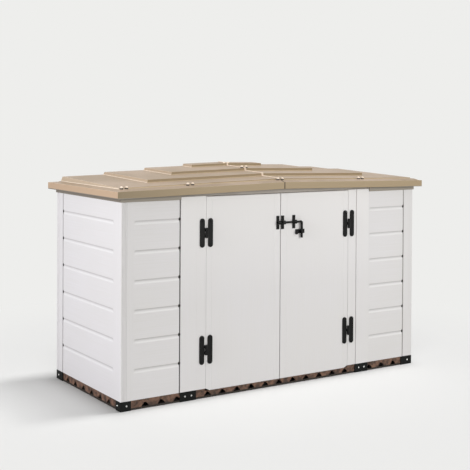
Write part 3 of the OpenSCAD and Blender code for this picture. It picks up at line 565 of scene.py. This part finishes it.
def plankedPanelTree():
    tree, given = newTree("plankedPanel", ("Length",) + panelSizes, ("Planks", "Columns"), ("Slot Resin",))
    planks, plankHeight, extra = given["Planks"], given["Plank Height"], given["Lowest Extra"]
    rows = addNode(tree, "ShaderNodeMath", {0: planks, 1: plankRows, 2: 1.0},
                   operation="MULTIPLY_ADD").outputs[0]
    grid = addNode(tree, "GeometryNodeMeshGrid",
                   {"Size X": 1.0, "Size Y": 1.0, "Vertices X": given["Columns"],
                    "Vertices Y": rows}).outputs["Mesh"]

    # along the panel, and up it in planks: which plank a point is on, and its place on that plank
    position = addNode(tree, "GeometryNodeInputPosition").outputs[0]
    moved = addNode(tree, "ShaderNodeVectorMath", {0: position, 1: (0.5, 0.5, 0.0)},
                    operation="ADD").outputs[0]
    place = addNode(tree, "ShaderNodeSeparateXYZ", {"Vector": moved}).outputs
    along = addNode(tree, "ShaderNodeMath", {0: place["X"], 1: given["Length"]},
                    operation="MULTIPLY").outputs[0]
    step = addNode(tree, "ShaderNodeMath", {0: place["Y"], 1: planks}, operation="MULTIPLY").outputs[0]
    plank = addNode(tree, "ShaderNodeMath", {0: step, 1: 0.001}, operation="ADD").outputs[0]
    plank = addNode(tree, "ShaderNodeMath", {0: plank}, operation="FLOOR").outputs[0]
    part = addNode(tree, "ShaderNodeMath", {0: step, 1: plank}, operation="SUBTRACT").outputs[0]
    part = addNode(tree, "ShaderNodeMath", {0: part, 1: 0.0}, operation="MAXIMUM").outputs[0]

    # where this plank starts and how tall it is
    isFirst = addNode(tree, "ShaderNodeMath", {0: plank, 1: 0.5}, operation="LESS_THAN").outputs[0]
    notFirst = addNode(tree, "ShaderNodeMath", {0: 1.0, 1: isFirst}, operation="SUBTRACT").outputs[0]
    tall = addNode(tree, "ShaderNodeMath", {0: isFirst, 1: extra, 2: plankHeight},
                   operation="MULTIPLY_ADD").outputs[0]
    start = addNode(tree, "ShaderNodeMath", {0: plank, 1: plankHeight}, operation="MULTIPLY").outputs[0]
    start = addNode(tree, "ShaderNodeMath", {0: notFirst, 1: extra, 2: start},
                    operation="MULTIPLY_ADD").outputs[0]
    trimmed = []
    for size, back in ((tall, 1.5), (start, 0.5)):    # the last plank is shorter, and the wall ends lower
        limit = addNode(tree, "ShaderNodeMath", {0: planks, 1: back}, operation="SUBTRACT").outputs[0]
        isPast = addNode(tree, "ShaderNodeMath", {0: plank, 1: limit}, operation="GREATER_THAN").outputs[0]
        trim = addNode(tree, "ShaderNodeMath", {0: isPast, 1: given["Top Trim"]},
                       operation="MULTIPLY").outputs[0]
        trimmed.append(addNode(tree, "ShaderNodeMath", {0: size, 1: trim}, operation="SUBTRACT").outputs[0])
    tall, start = trimmed

    # two rows of faces lie on each flank of a groove and four on the plank between
    above = addNode(tree, "ShaderNodeMath", {0: given["Groove Above"], 1: tall},
                    operation="DIVIDE").outputs[0]
    below = addNode(tree, "ShaderNodeMath", {0: given["Groove Below"], 1: tall},
                    operation="DIVIDE").outputs[0]
    inner = addNode(tree, "ShaderNodeMath", {0: 1.0, 1: above}, operation="SUBTRACT").outputs[0]
    inner = addNode(tree, "ShaderNodeMath", {0: inner, 1: below}, operation="SUBTRACT").outputs[0]
    middle = addNode(tree, "ShaderNodeMapRange", {"Value": part, "From Min": 0.25, "From Max": 0.75,
                                                  "To Min": 0.0, "To Max": inner}).outputs["Result"]
    rise = throughStops(tree, part, plankProfile["rise"])
    drop = throughStops(tree, part, plankProfile["drop"])
    share = addNode(tree, "ShaderNodeMath", {0: above, 1: rise, 2: middle},
                    operation="MULTIPLY_ADD").outputs[0]
    share = addNode(tree, "ShaderNodeMath", {0: below, 1: drop, 2: share},
                    operation="MULTIPLY_ADD").outputs[0]
    height = addNode(tree, "ShaderNodeMath", {0: share, 1: tall, 2: start},
                     operation="MULTIPLY_ADD").outputs[0]

    # the groove fades out at the plain end, and there is none at the foot and the top of the wall
    top = addNode(tree, "ShaderNodeMath", {0: planks, 1: 0.4}, operation="SUBTRACT").outputs[0]
    offFoot = addNode(tree, "ShaderNodeMath", {0: step, 1: 0.4}, operation="GREATER_THAN").outputs[0]
    offTop = addNode(tree, "ShaderNodeMath", {0: step, 1: top}, operation="LESS_THAN").outputs[0]
    shown = addNode(tree, "ShaderNodeMath", {0: offFoot, 1: offTop}, operation="MULTIPLY").outputs[0]
    fade = addNode(tree, "ShaderNodeMapRange",
                   {"Value": along, "From Min": 0.0, "From Max": given["Fade Length"]},
                   interpolation_type="SMOOTHSTEP").outputs["Result"]
    shown = addNode(tree, "ShaderNodeMath", {0: shown, 1: fade}, operation="MULTIPLY").outputs[0]
    marked, faded = grid, {}
    for name in ("deep", "grooveDark", "edgeClean"):
        profile = throughStops(tree, part, plankProfile[name])
        faded[name] = addNode(tree, "ShaderNodeMath", {0: profile, 1: shown}, operation="MULTIPLY").outputs[0]
        if name != "deep":    # the painted shade and highlight that the plank's resin reads
            marked = addNode(tree, "GeometryNodeStoreNamedAttribute",
                             {"Geometry": marked, "Name": name, "Value": faded[name]},
                             data_type="FLOAT", domain="POINT").outputs[0]
    sunk = addNode(tree, "ShaderNodeMath", {0: faded["deep"], 1: given["Groove Depth"]}, operation="MULTIPLY")
    sunk = addNode(tree, "ShaderNodeMath", {0: sunk.outputs[0], 1: -1.0}, operation="MULTIPLY").outputs[0]
    point = addNode(tree, "ShaderNodeCombineXYZ", {"X": along, "Y": height, "Z": sunk}).outputs["Vector"]
    front = addNode(tree, "GeometryNodeSetPosition", {"Geometry": marked, "Position": point}).outputs[0]

    # the back and the sides
    back = addNode(tree, "ShaderNodeMath", {0: given["Thickness"], 1: -1.0}, operation="MULTIPLY").outputs[0]
    back = addNode(tree, "ShaderNodeCombineXYZ", {"Z": back}).outputs["Vector"]
    pulled = addNode(tree, "GeometryNodeExtrudeMesh", {"Mesh": front, "Offset": back, "Offset Scale": 1.0,
                                                       "Individual": False}, mode="FACES").outputs
    level = addNode(tree, "ShaderNodeVectorMath", {0: position, 1: (1.0, 1.0, 0.0)},
                    operation="MULTIPLY").outputs[0]
    flat = addNode(tree, "GeometryNodeSetPosition", {"Geometry": pulled["Mesh"], "Selection": pulled["Top"],
                                                     "Position": level, "Offset": back}).outputs[0]
    turned = addNode(tree, "GeometryNodeFlipFaces", {"Mesh": flat}).outputs[0]
    whole = addNode(tree, "GeometryNodeJoinGeometry")
    for side in (front, turned):
        tree.links.new(side, whole.inputs[0])
    solid = addNode(tree, "GeometryNodeMergeByDistance", {"Geometry": whole.outputs[0],
                                                          "Distance": edgeRule["mergeWithin"]}).outputs[0]

    # a dark strip of painted shade behind the open slot
    width, depth, thickness = given["Slot Width"], given["Slot Depth"], given["Thickness"]
    thin = addNode(tree, "ShaderNodeMath", {0: thickness, 1: depth}, operation="SUBTRACT").outputs[0]
    size = addNode(tree, "ShaderNodeCombineXYZ",
                   {"X": width, "Y": given["Height"], "Z": thin}).outputs["Vector"]
    strip = addNode(tree, "GeometryNodeMeshCube", {"Size": size}).outputs["Mesh"]
    beside = addNode(tree, "ShaderNodeMath", {0: width, 1: 0.5, 2: given["Length"]}, operation="MULTIPLY_ADD")
    halfway = addNode(tree, "ShaderNodeMath", {0: given["Height"], 1: 0.5}, operation="MULTIPLY")
    inside = addNode(tree, "ShaderNodeMath", {0: thickness, 1: depth}, operation="ADD").outputs[0]
    inside = addNode(tree, "ShaderNodeMath", {0: inside, 1: -0.5}, operation="MULTIPLY")
    centre = addNode(tree, "ShaderNodeCombineXYZ", {"X": beside.outputs[0], "Y": halfway.outputs[0],
                                                    "Z": inside.outputs[0]}).outputs["Vector"]
    strip = addNode(tree, "GeometryNodeTransform", {"Geometry": strip, "Translation": centre}).outputs[0]

    # a dark oval of painted shade in the notch at each groove
    count = addNode(tree, "ShaderNodeMath", {0: planks, 1: 1.0}, operation="SUBTRACT").outputs[0]
    lowest = addNode(tree, "ShaderNodeMath", {0: plankHeight, 1: extra}, operation="ADD").outputs[0]
    first = addNode(tree, "ShaderNodeCombineXYZ", {"X": given["Length"], "Y": lowest}).outputs["Vector"]
    pitch = addNode(tree, "ShaderNodeCombineXYZ", {"Y": plankHeight}).outputs["Vector"]
    line = addNode(tree, "GeometryNodeMeshLine", {"Count": count, "Start Location": first, "Offset": pitch})
    oval = addNode(tree, "GeometryNodeMeshCylinder",
                   {"Vertices": plankedPanel["notchSides"], "Radius": 0.5, "Depth": 1.0}).outputs["Mesh"]
    sunk = addNode(tree, "ShaderNodeMath", {0: depth, 1: -plankedPanel["notchSink"]}, operation="MULTIPLY")
    sunk = addNode(tree, "ShaderNodeCombineXYZ", {"Z": sunk.outputs[0]}).outputs["Vector"]
    proud = addNode(tree, "ShaderNodeMath", {0: depth, 1: given["Notch Proud"]}, operation="ADD").outputs[0]
    size = addNode(tree, "ShaderNodeCombineXYZ", {"X": given["Notch Width"], "Y": given["Notch Height"],
                                                  "Z": proud}).outputs["Vector"]
    oval = addNode(tree, "GeometryNodeTransform",
                   {"Geometry": oval, "Translation": sunk, "Scale": size}).outputs[0]
    notches = addNode(tree, "GeometryNodeInstanceOnPoints", {"Points": line.outputs["Mesh"],
                                                             "Instance": oval}).outputs["Instances"]

    parts = addNode(tree, "GeometryNodeJoinGeometry")
    for piece, material in ((solid, finishes["plankResin"]), (strip, given["Slot Resin"]),
                            (notches, finishes["shadowPlastic"])):
        real = addNode(tree, "GeometryNodeRealizeInstances", {"Geometry": piece}).outputs[0]
        coloured = addNode(tree, "GeometryNodeSetMaterial", {"Geometry": real, "Material": material})
        tree.links.new(coloured.outputs[0], parts.inputs[0])
    addNode(tree, "NodeGroupOutput", {"Geometry": parts.outputs[0]})
    return tree


def treePiece(name, tree, values, points=None):
    mesh = points or bpy.data.meshes.new(name)
    piece = newPiece(name, mesh, None)
    modifier = piece.modifiers.new("rule", "NODES")
    modifier.node_group = tree
    for item in tree.interface.items_tree:
        if item.in_out == "INPUT" and item.name in values:
            modifier[item.identifier] = values[item.name]
    return bakeModifiers(piece)


panelTree = plankedPanelTree()
panelPlaces = {   # node: where its plain end is, the way it runs and the way it faces
    "front_panel_left": ((-940, -414), (1, 0), (0, -1)),
    "front_panel_right": ((656, -414), (1, 0), (0, -1)),
    "side_panel_left": ((-1012, -330), (0, 1), (-1, 0)),
    "side_panel_right": ((1012, 330), (0, -1), (1, 0)),
    "rear_panel_left": ((-50, 414), (-1, 0), (0, 1)),
    "rear_panel_right": ((940, 414), (-1, 0), (0, 1)),
}
for node, (start, run, facing) in panelPlaces.items():
    low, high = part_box(node)
    besideDoor = node == "front_panel_right"
    values = {label: plankedPanel[label[0].lower() + label[1:].replace(" ", "")] * mm for label in panelSizes}
    values["Length"] = max(high.x - low.x, high.y - low.y) - values["Slot Width"]
    if besideDoor:
        values["Slot Depth"] = plankedPanel["fullSlot"] * mm
    values.update({"Planks": plankedPanel["planks"], "Columns": plankedPanel["columns"],
                   "Slot Resin": finishes["slotResin" if besideDoor else "shadowPlastic"]})
    panel = treePiece(camel(node), panelTree, values)
    turn = Matrix(((run[0], 0, facing[0], start[0] * mm), (run[1], 0, facing[1], start[1] * mm),
                   (0, 1, 0, low.z), (0, 0, 0, 1)))
    panel.data.transform(turn)
    if turn.determinant() < 0:
        panel.data.flip_normals()
    for face in panel.data.polygons:
        face.use_smooth = True
    panel.data.set_sharp_from_angle(angle=math.radians(plankedPanel["sharpAngle"]))
    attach(panel, "cabinet")
    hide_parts(node)
print("planked panels:", len(panelPlaces))


# Screws: a pan head with a cross recess, or a cap on a dark collar of painted shade, wherever the CAD has a
# screw

screwHead = {    # in diameters across and in heights up, because the tree stretches it to size
    "sides": 28,
    "foot": 0.5, "shoulder": 0.44, "crown": 0.22,    # radii
    "recessWidth": 0.16, "recessLength": 0.6, "recessDepth": 0.55,
    "capLift": 0.45,
    "mouth": (20, 0.3, 0.3), "mouthLift": 1.12,      # sides, radius and depth of the painted shade in the cap's mouth
    # sides, radius and depth of the dark collar of painted shade under the cap
    "washer": (24, 0.5, 0.8),
    "capTop": 1.45,          # a cap's top above its middle
    "spin": 1.57, "seed": 4,    # each head is turned by up to a quarter turn
}


def screwTree(name, capped):
    tree, given = newTree(name, ("Diameter", "Height"), (), ("Metal", "Hole"))
    stack = addNode(tree, "GeometryNodeJoinGeometry")
    for wide, narrow, lift in (("foot", "shoulder", 0.0), ("shoulder", "crown", 0.5)):
        cone = addNode(tree, "GeometryNodeMeshCone",
                       {"Vertices": screwHead["sides"], "Radius Top": screwHead[narrow],
                        "Radius Bottom": screwHead[wide], "Depth": 0.5}).outputs["Mesh"]
        cone = addNode(tree, "GeometryNodeTransform",
                       {"Geometry": cone, "Translation": (0, 0, lift)}).outputs[0]
        tree.links.new(cone, stack.inputs[0])
    head = addNode(tree, "GeometryNodeMergeByDistance",
                   {"Geometry": stack.outputs[0], "Distance": 0.001}).outputs[0]
    length, width, depth = (screwHead[key] for key in ("recessLength", "recessWidth", "recessDepth"))
    recesses = () if capped else ((length, width, depth), (width, length, depth))
    for size in recesses:
        recess = addNode(tree, "GeometryNodeMeshCube", {"Size": size}).outputs["Mesh"]
        recess = addNode(tree, "GeometryNodeTransform",
                         {"Geometry": recess, "Translation": (0, 0, 1.0)}).outputs[0]
        head = addNode(tree, "GeometryNodeMeshBoolean", {"Mesh 1": head, "Mesh 2": recess},
                       operation="DIFFERENCE").outputs["Mesh"]
    head = addNode(tree, "GeometryNodeSetMaterial", {"Geometry": head, "Material": given["Metal"]}).outputs[0]
    if capped:
        # painted shade: the cap stands on a dark collar for its shaded lower side, and has a dark disc in its
        # mouth over its screw
        lift = (0, 0, screwHead["capLift"])
        head = addNode(tree, "GeometryNodeTransform", {"Geometry": head, "Translation": lift}).outputs[0]
        both = addNode(tree, "GeometryNodeJoinGeometry")
        tree.links.new(head, both.inputs[0])
        for key, lift in (("mouth", screwHead["mouthLift"]), ("washer", 0.0)):
            sides, radius, deep = screwHead[key]
            dark = addNode(tree, "GeometryNodeMeshCylinder", {"Vertices": sides, "Radius": radius,
                                                              "Depth": deep}).outputs["Mesh"]
            dark = addNode(tree, "GeometryNodeTransform",
                           {"Geometry": dark, "Translation": (0, 0, lift)}).outputs[0]
            dark = addNode(tree, "GeometryNodeSetMaterial",
                           {"Geometry": dark, "Material": given["Hole"]}).outputs[0]
            tree.links.new(dark, both.inputs[0])
        head = both.outputs[0]
    size = addNode(tree, "ShaderNodeCombineXYZ", {"X": given["Diameter"], "Y": given["Diameter"],
                                                  "Z": given["Height"]}).outputs["Vector"]
    head = addNode(tree, "GeometryNodeTransform", {"Geometry": head, "Scale": size}).outputs[0]
    facing = addNode(tree, "GeometryNodeInputNamedAttribute", {"Name": "facing"},
                     data_type="FLOAT_VECTOR").outputs[0]
    turn = addNode(tree, "FunctionNodeAlignRotationToVector", {"Vector": facing}, axis="Z").outputs[0]
    spin = addNode(tree, "FunctionNodeRandomValue", {2: 0.0, 3: screwHead["spin"], "Seed": screwHead["seed"]},
                   data_type="FLOAT").outputs[1]
    spin = addNode(tree, "ShaderNodeCombineXYZ", {"Z": spin}).outputs["Vector"]
    turn = addNode(tree, "FunctionNodeRotateRotation", {0: turn, 1: spin}, rotation_space="LOCAL").outputs[0]
    placed = addNode(tree, "GeometryNodeInstanceOnPoints", {"Points": given["Geometry"], "Instance": head,
                                                            "Rotation": turn}).outputs["Instances"]
    real = addNode(tree, "GeometryNodeRealizeInstances", {"Geometry": placed}).outputs[0]
    addNode(tree, "NodeGroupOutput", {"Geometry": real})
    return tree


def islandBoxes(node):
    work = bmesh.new()
    work.from_mesh(mergedCopy(node))
    left, boxes = set(work.verts), []
    while left:
        stack, island = [left.pop()], []
        while stack:
            vert = stack.pop()
            island.append(vert.co.copy())
            for edge in vert.link_edges:
                other = edge.other_vert(vert)
                if other in left:
                    left.remove(other)
                    stack.append(other)
        boxes.append((Vector(map(min, *island)), Vector(map(max, *island))))
    work.free()
    boxes.sort(key=lambda box: [round(part, 4) for part in box[0]])    # so that each run spins a screw alike
    return boxes


screwSizes = {   # node: head diameter and height in mm, material
    "foot_screws": (10.0, 3.0, "zincSteel"),
    "roof_screws": (18.0, 9.0, "capResin"),
    "jamb_screws": (9.0, 2.5, "powderCoat"),
    "left_door_screws": (9.0, 2.5, "powderCoat"),
    "right_door_screws": (9.0, 2.5, "powderCoat"),
}
panTree, capTree = screwTree("panScrews", False), screwTree("cappedScrews", True)
for node, (diameter, height, metal) in screwSizes.items():
    points, facings = [], []
    for low, high in islandBoxes(node):
        size, middle = high - low, (low + high) / 2
        if node == "roof_screws":
            facing = Vector((0, 0, 1))
        elif node == "foot_screws" and size.x < size.y:
            facing = Vector((math.copysign(1, middle.x), 0, 0))
        else:
            facing = Vector((0, math.copysign(1, middle.y), 0))
        half = abs(facing.dot(size)) / 2
        base = -half if node == "roof_screws" else half - height * mm
        point = middle + facing * (base + height * mm / 4)
        if node == "roof_screws":   # the pair on the ridge sits lower, to stay inside the cabinet's height
            point.z = min(point.z, boxBefore[1][2] - screwHead["capTop"] * height * mm)
        points.append(point)
        facings.append(facing)
    mesh = bpy.data.meshes.new(camel(node))
    mesh.from_pydata(points, [], [])
    attribute = mesh.attributes.new("facing", "FLOAT_VECTOR", "POINT")
    attribute.data.foreach_set("vector", [c for facing in facings for c in facing])
    sizes = {"Diameter": diameter * mm, "Height": height * mm, "Metal": finishes[metal],
             "Hole": finishes["shadowPlastic"]}
    screws = treePiece(camel(node), capTree if node == "roof_screws" else panTree, sizes, mesh)
    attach(screws, bodyOf[node])
    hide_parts(node)
print("screw groups:", len(screwSizes))


# A small bead follows the foot of each terrace's side and front on the roof

roofRule = {
    "terraces": 4,
    "terraceX": 1012.0, "terraceY": -391.0, "terraceZ": 1162.0,
    "stepX": 253.0, "stepY": 165.0, "stepGrow": 17.0, "stepZ": 27.5,
    "slopeX": 0.022, "slopeY": 0.0315,
    "rearSum": 1521.0, "rearStep": 6.0,
    "ledgeZ": 1156.0, "rimSlope": rimPlane["slope"], "roofX": 1052.0,
    "seamEdge": 6.5, "rearGap": 2.0,
    "beadRadius": 3.2, "beadSides": 12,
    "cornerRadius": 9.0, "cornerPoints": 5,
}


def treadX(k):
    return roofRule["terraceX"] - k * roofRule["stepX"]


def treadY(k):
    return roofRule["terraceY"] + k * roofRule["stepY"] + roofRule["stepGrow"] * k * (k - 1) / 2


def lowerZ(k, x, y):
    # the surface that terrace k stands on
    if k == 0:
        return roofRule["ledgeZ"] + roofRule["rimSlope"] * (roofRule["roofX"] - x)
    k -= 1
    return (roofRule["terraceZ"] + k * roofRule["stepZ"] + roofRule["slopeX"] * (treadX(k) - x)
            + roofRule["slopeY"] * (y - treadY(k)))


def beadTree():
    tree, given = newTree("edgeBead", ("Radius", "Corner"), ("Sides", "Corner Points"), ("Resin",))
    path = addNode(tree, "GeometryNodeMeshToCurve", {"Mesh": given["Geometry"]}).outputs[0]
    path = addNode(tree, "GeometryNodeFilletCurve", {"Curve": path, "Radius": given["Corner"],
                                                     "Count": given["Corner Points"]}, mode="POLY").outputs[0]
    ring = addNode(tree, "GeometryNodeCurvePrimitiveCircle", {"Resolution": given["Sides"],
                                                              "Radius": given["Radius"]}).outputs["Curve"]
    rod = addNode(tree, "GeometryNodeCurveToMesh", {"Curve": path, "Profile Curve": ring, "Fill Caps": True})
    real = addNode(tree, "GeometryNodeRealizeInstances", {"Geometry": rod.outputs[0]}).outputs[0]
    coloured = addNode(tree, "GeometryNodeSetMaterial",
                       {"Geometry": real, "Material": given["Resin"]}).outputs[0]
    addNode(tree, "NodeGroupOutput", {"Geometry": coloured})
    return tree


beadPoints, beadEdges = [], []
for side in (-1, 1):
    for k in range(roofRule["terraces"]):
        x, y = treadX(k), treadY(k)
        rearY = (roofRule["rearSum"] - roofRule["rearStep"] * k - lowerZ(k, x, 0)) / (1 + roofRule["slopeY"])
        rearY -= roofRule["rearGap"]
        for px, py in ((x, rearY), (x, y), (roofRule["seamEdge"], y)):
            beadPoints.append(Vector((side * px, py, lowerZ(k, px, py))) * mm)
        last = len(beadPoints) - 1
        beadEdges += [(last - 2, last - 1), (last - 1, last)]
beadMesh = bpy.data.meshes.new("roofBeads")
beadMesh.from_pydata(beadPoints, beadEdges, [])
# the beads take the painted highlight of the roof's edges
beadValues = {"Radius": roofRule["beadRadius"] * mm, "Corner": roofRule["cornerRadius"] * mm,
              "Sides": roofRule["beadSides"], "Corner Points": roofRule["cornerPoints"],
              "Resin": finishes["roofEdgeResin"]}
beads = treePiece("roofBeads", beadTree(), beadValues, beadMesh)
for face in beads.data.polygons:
    face.use_smooth = True
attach(beads, "cabinet")
print("roof beads:", len(beadEdges))


# Floor, light and camera

studio = {
    "background": "#eeeeec",
    "floor": "#dcdcdb",
    "floorBounce": "#b4b4b2",
    "floorSize": 60.0,
    "fadeFrom": 1.35, "fadeTo": 2.7,    # metres from the middle, where the floor turns into the background
    "worldLight": 0.30,
    "suns": {   # name: where it shines from, strength, size in degrees, colour, what it lights
        "topSun": ((0.02, 0.05, 1.0), 1.45, 14.0, "#ffffff", "cabinet"),
        "rightSun": ((0.34, 0.04, 0.94), 1.38, 32.0, "#ffffff", "cabinet"),
        "frontSun": ((0.10, -1.0, 0.20), 0.65, 20.0, "#fffdf8", "cabinet"),
        "leftSun": ((-1.0, -0.10, 0.20), 1.27, 20.0, "#f8f6ff", "cabinet"),
        # a row of suns from overhead to the right draws a shadow that fades away from the left wall
        "floorSunA": ((0.05, 0.02, 1.0), 0.58, 7.0, "#ffffff", "floor"),
        "floorSunB": ((0.20, -0.06, 1.0), 0.58, 9.0, "#ffffff", "floor"),
        "floorSunC": ((0.34, -0.06, 1.0), 0.48, 9.0, "#ffffff", "floor"),
        "floorSunD": ((0.44, -0.06, 1.0), 0.42, 9.0, "#ffffff", "floor"),
        "floorFill": ((-0.35, -0.50, 1.0), 0.78, 30.0, "#ffffff", "floor"),
    },
    "nearLamps": {
        # the front grows lighter toward the right, and the left side toward the front
        "frontLamp": {"place": (1.2, -3.0, 1.8), "aim": (0.1, -0.4, 0.8), "power": 19.6, "size": 1.2},
        "sideLamp": {"place": (-2.6, -0.5, 1.4), "aim": (-1.0, -0.3, 0.6), "power": 8.3, "size": 0.8},
    },
}


def makeFloor():
    work = bmesh.new()
    bmesh.ops.create_grid(work, x_segments=8, y_segments=8, size=studio["floorSize"] / 2)
    mesh = bpy.data.meshes.new("studioFloor")
    work.to_mesh(mesh)
    work.free()
    material = bpy.data.materials.new("paleFloor")
    material.use_nodes = True
    tree = material.node_tree
    tree.nodes.clear()
    seen = addNode(tree, "ShaderNodeLightPath").outputs["Is Camera Ray"]
    bounce, tone = toLinear(studio["floorBounce"]), toLinear(studio["floor"])
    tone = addNode(tree, "ShaderNodeMix", {0: seen, 6: bounce, 7: tone}, data_type="RGBA").outputs[2]
    matt = addNode(tree, "ShaderNodeBsdfDiffuse", {"Color": tone}).outputs[0]
    plain = addNode(tree, "ShaderNodeEmission",
                    {"Color": toLinear(studio["background"]), "Strength": 1.0}).outputs[0]
    place = addNode(tree, "ShaderNodeTexCoord").outputs["Object"]
    away = addNode(tree, "ShaderNodeVectorMath", {0: place}, operation="LENGTH").outputs["Value"]
    fade = addNode(tree, "ShaderNodeMapRange", {"Value": away, "From Min": studio["fadeFrom"],
                                                "From Max": studio["fadeTo"]},
                   interpolation_type="SMOOTHSTEP").outputs["Result"]
    both = addNode(tree, "ShaderNodeMath", {0: fade, 1: seen}, operation="MULTIPLY").outputs[0]
    surface = addNode(tree, "ShaderNodeMixShader", {0: both, 1: matt, 2: plain}).outputs[0]
    addNode(tree, "ShaderNodeOutputMaterial", {"Surface": surface})
    floor = newPiece("studioFloor", mesh, material)


def makeWorld():
    world = bpy.data.worlds.new("studioWorld")
    bpy.context.scene.world = world
    world.use_nodes = True
    tree = world.node_tree
    tree.nodes.clear()
    light = addNode(tree, "ShaderNodeBackground",
                    {"Color": toLinear("#ffffff"), "Strength": studio["worldLight"]})
    seen = addNode(tree, "ShaderNodeBackground", {"Color": toLinear(studio["background"]), "Strength": 1.0})
    path = addNode(tree, "ShaderNodeLightPath").outputs
    rays = path["Is Camera Ray"]
    for kind in ("Is Glossy Ray", "Is Transmission Ray"):
        rays = addNode(tree, "ShaderNodeMath", {0: rays, 1: path[kind]}, operation="MAXIMUM").outputs[0]
    mix = addNode(tree, "ShaderNodeMixShader", {0: rays, 1: light.outputs[0], 2: seen.outputs[0]}).outputs[0]
    addNode(tree, "ShaderNodeOutputWorld", {"Surface": mix})


def softSun(name, source, strength, angle, colour, lights):
    lamp = bpy.data.lights.new(name, "SUN")
    lamp.energy = strength
    lamp.angle = math.radians(angle)
    lamp.color = toLinear(colour)[:3]
    holder = bpy.data.objects.new(name, lamp)
    bpy.context.scene.collection.objects.link(holder)
    holder.rotation_euler = (-Vector(source)).to_track_quat("-Z", "Y").to_euler()
    holder.light_linking.receiver_collection = litBy[lights]


def makeNearLamp(name, place, aim, power, size):
    lamp = bpy.data.lights.new(name, "AREA")
    lamp.shape = "DISK"
    lamp.size = size
    lamp.energy = power
    holder = bpy.data.objects.new(name, lamp)
    bpy.context.scene.collection.objects.link(holder)
    holder.location = place
    holder.rotation_euler = (Vector(aim) - Vector(place)).to_track_quat("-Z", "Y").to_euler()
    holder.light_linking.receiver_collection = litBy["cabinet"]


photoCamera = {
    # from the wall edges and plank grooves in the photograph
    "yaw": 0.57944, "pitch": 0.01466, "roll": 0.00569,
    "place": (-3.3992, -5.1566, 1.5337),
    "lens": 78.34, "sensor": 36.0,
    "shiftX": -0.0058, "shiftY": -0.2189,
    "farthest": 200.0,
}


def makeCamera():
    yaw, pitch, roll = (photoCamera[key] for key in ("yaw", "pitch", "roll"))
    ahead = Vector((math.sin(yaw) * math.cos(pitch), math.cos(yaw) * math.cos(pitch), -math.sin(pitch)))
    level = Vector((math.cos(yaw), -math.sin(yaw), 0))
    upright = level.cross(ahead)
    right = level * math.cos(roll) + upright * math.sin(roll)
    up = upright * math.cos(roll) - level * math.sin(roll)
    camera = bpy.data.cameras.new("photoCamera")
    camera.sensor_width = photoCamera["sensor"]
    camera.lens = photoCamera["lens"]
    camera.shift_x = photoCamera["shiftX"]
    camera.shift_y = photoCamera["shiftY"]
    camera.clip_end = photoCamera["farthest"]
    holder = bpy.data.objects.new("photoCamera", camera)
    bpy.context.scene.collection.objects.link(holder)
    turn = Matrix((right, up, -ahead)).transposed().to_4x4()
    turn.translation = photoCamera["place"]
    holder.matrix_world = turn
    bpy.context.scene.camera = holder


makeFloor()
makeWorld()
litBy = {lights: bpy.data.collections.new("lit_" + lights) for lights in ("cabinet", "floor")}
for item in bpy.data.objects:
    if item.type == "MESH":
        litBy["floor" if item.name == "studioFloor" else "cabinet"].objects.link(item)
for name, settings in studio["suns"].items():
    softSun(name, *settings)
for name, settings in studio["nearLamps"].items():
    makeNearLamp(name, **settings)
makeCamera()
bpy.context.scene.view_settings.view_transform = "Standard"
print("studio ready")
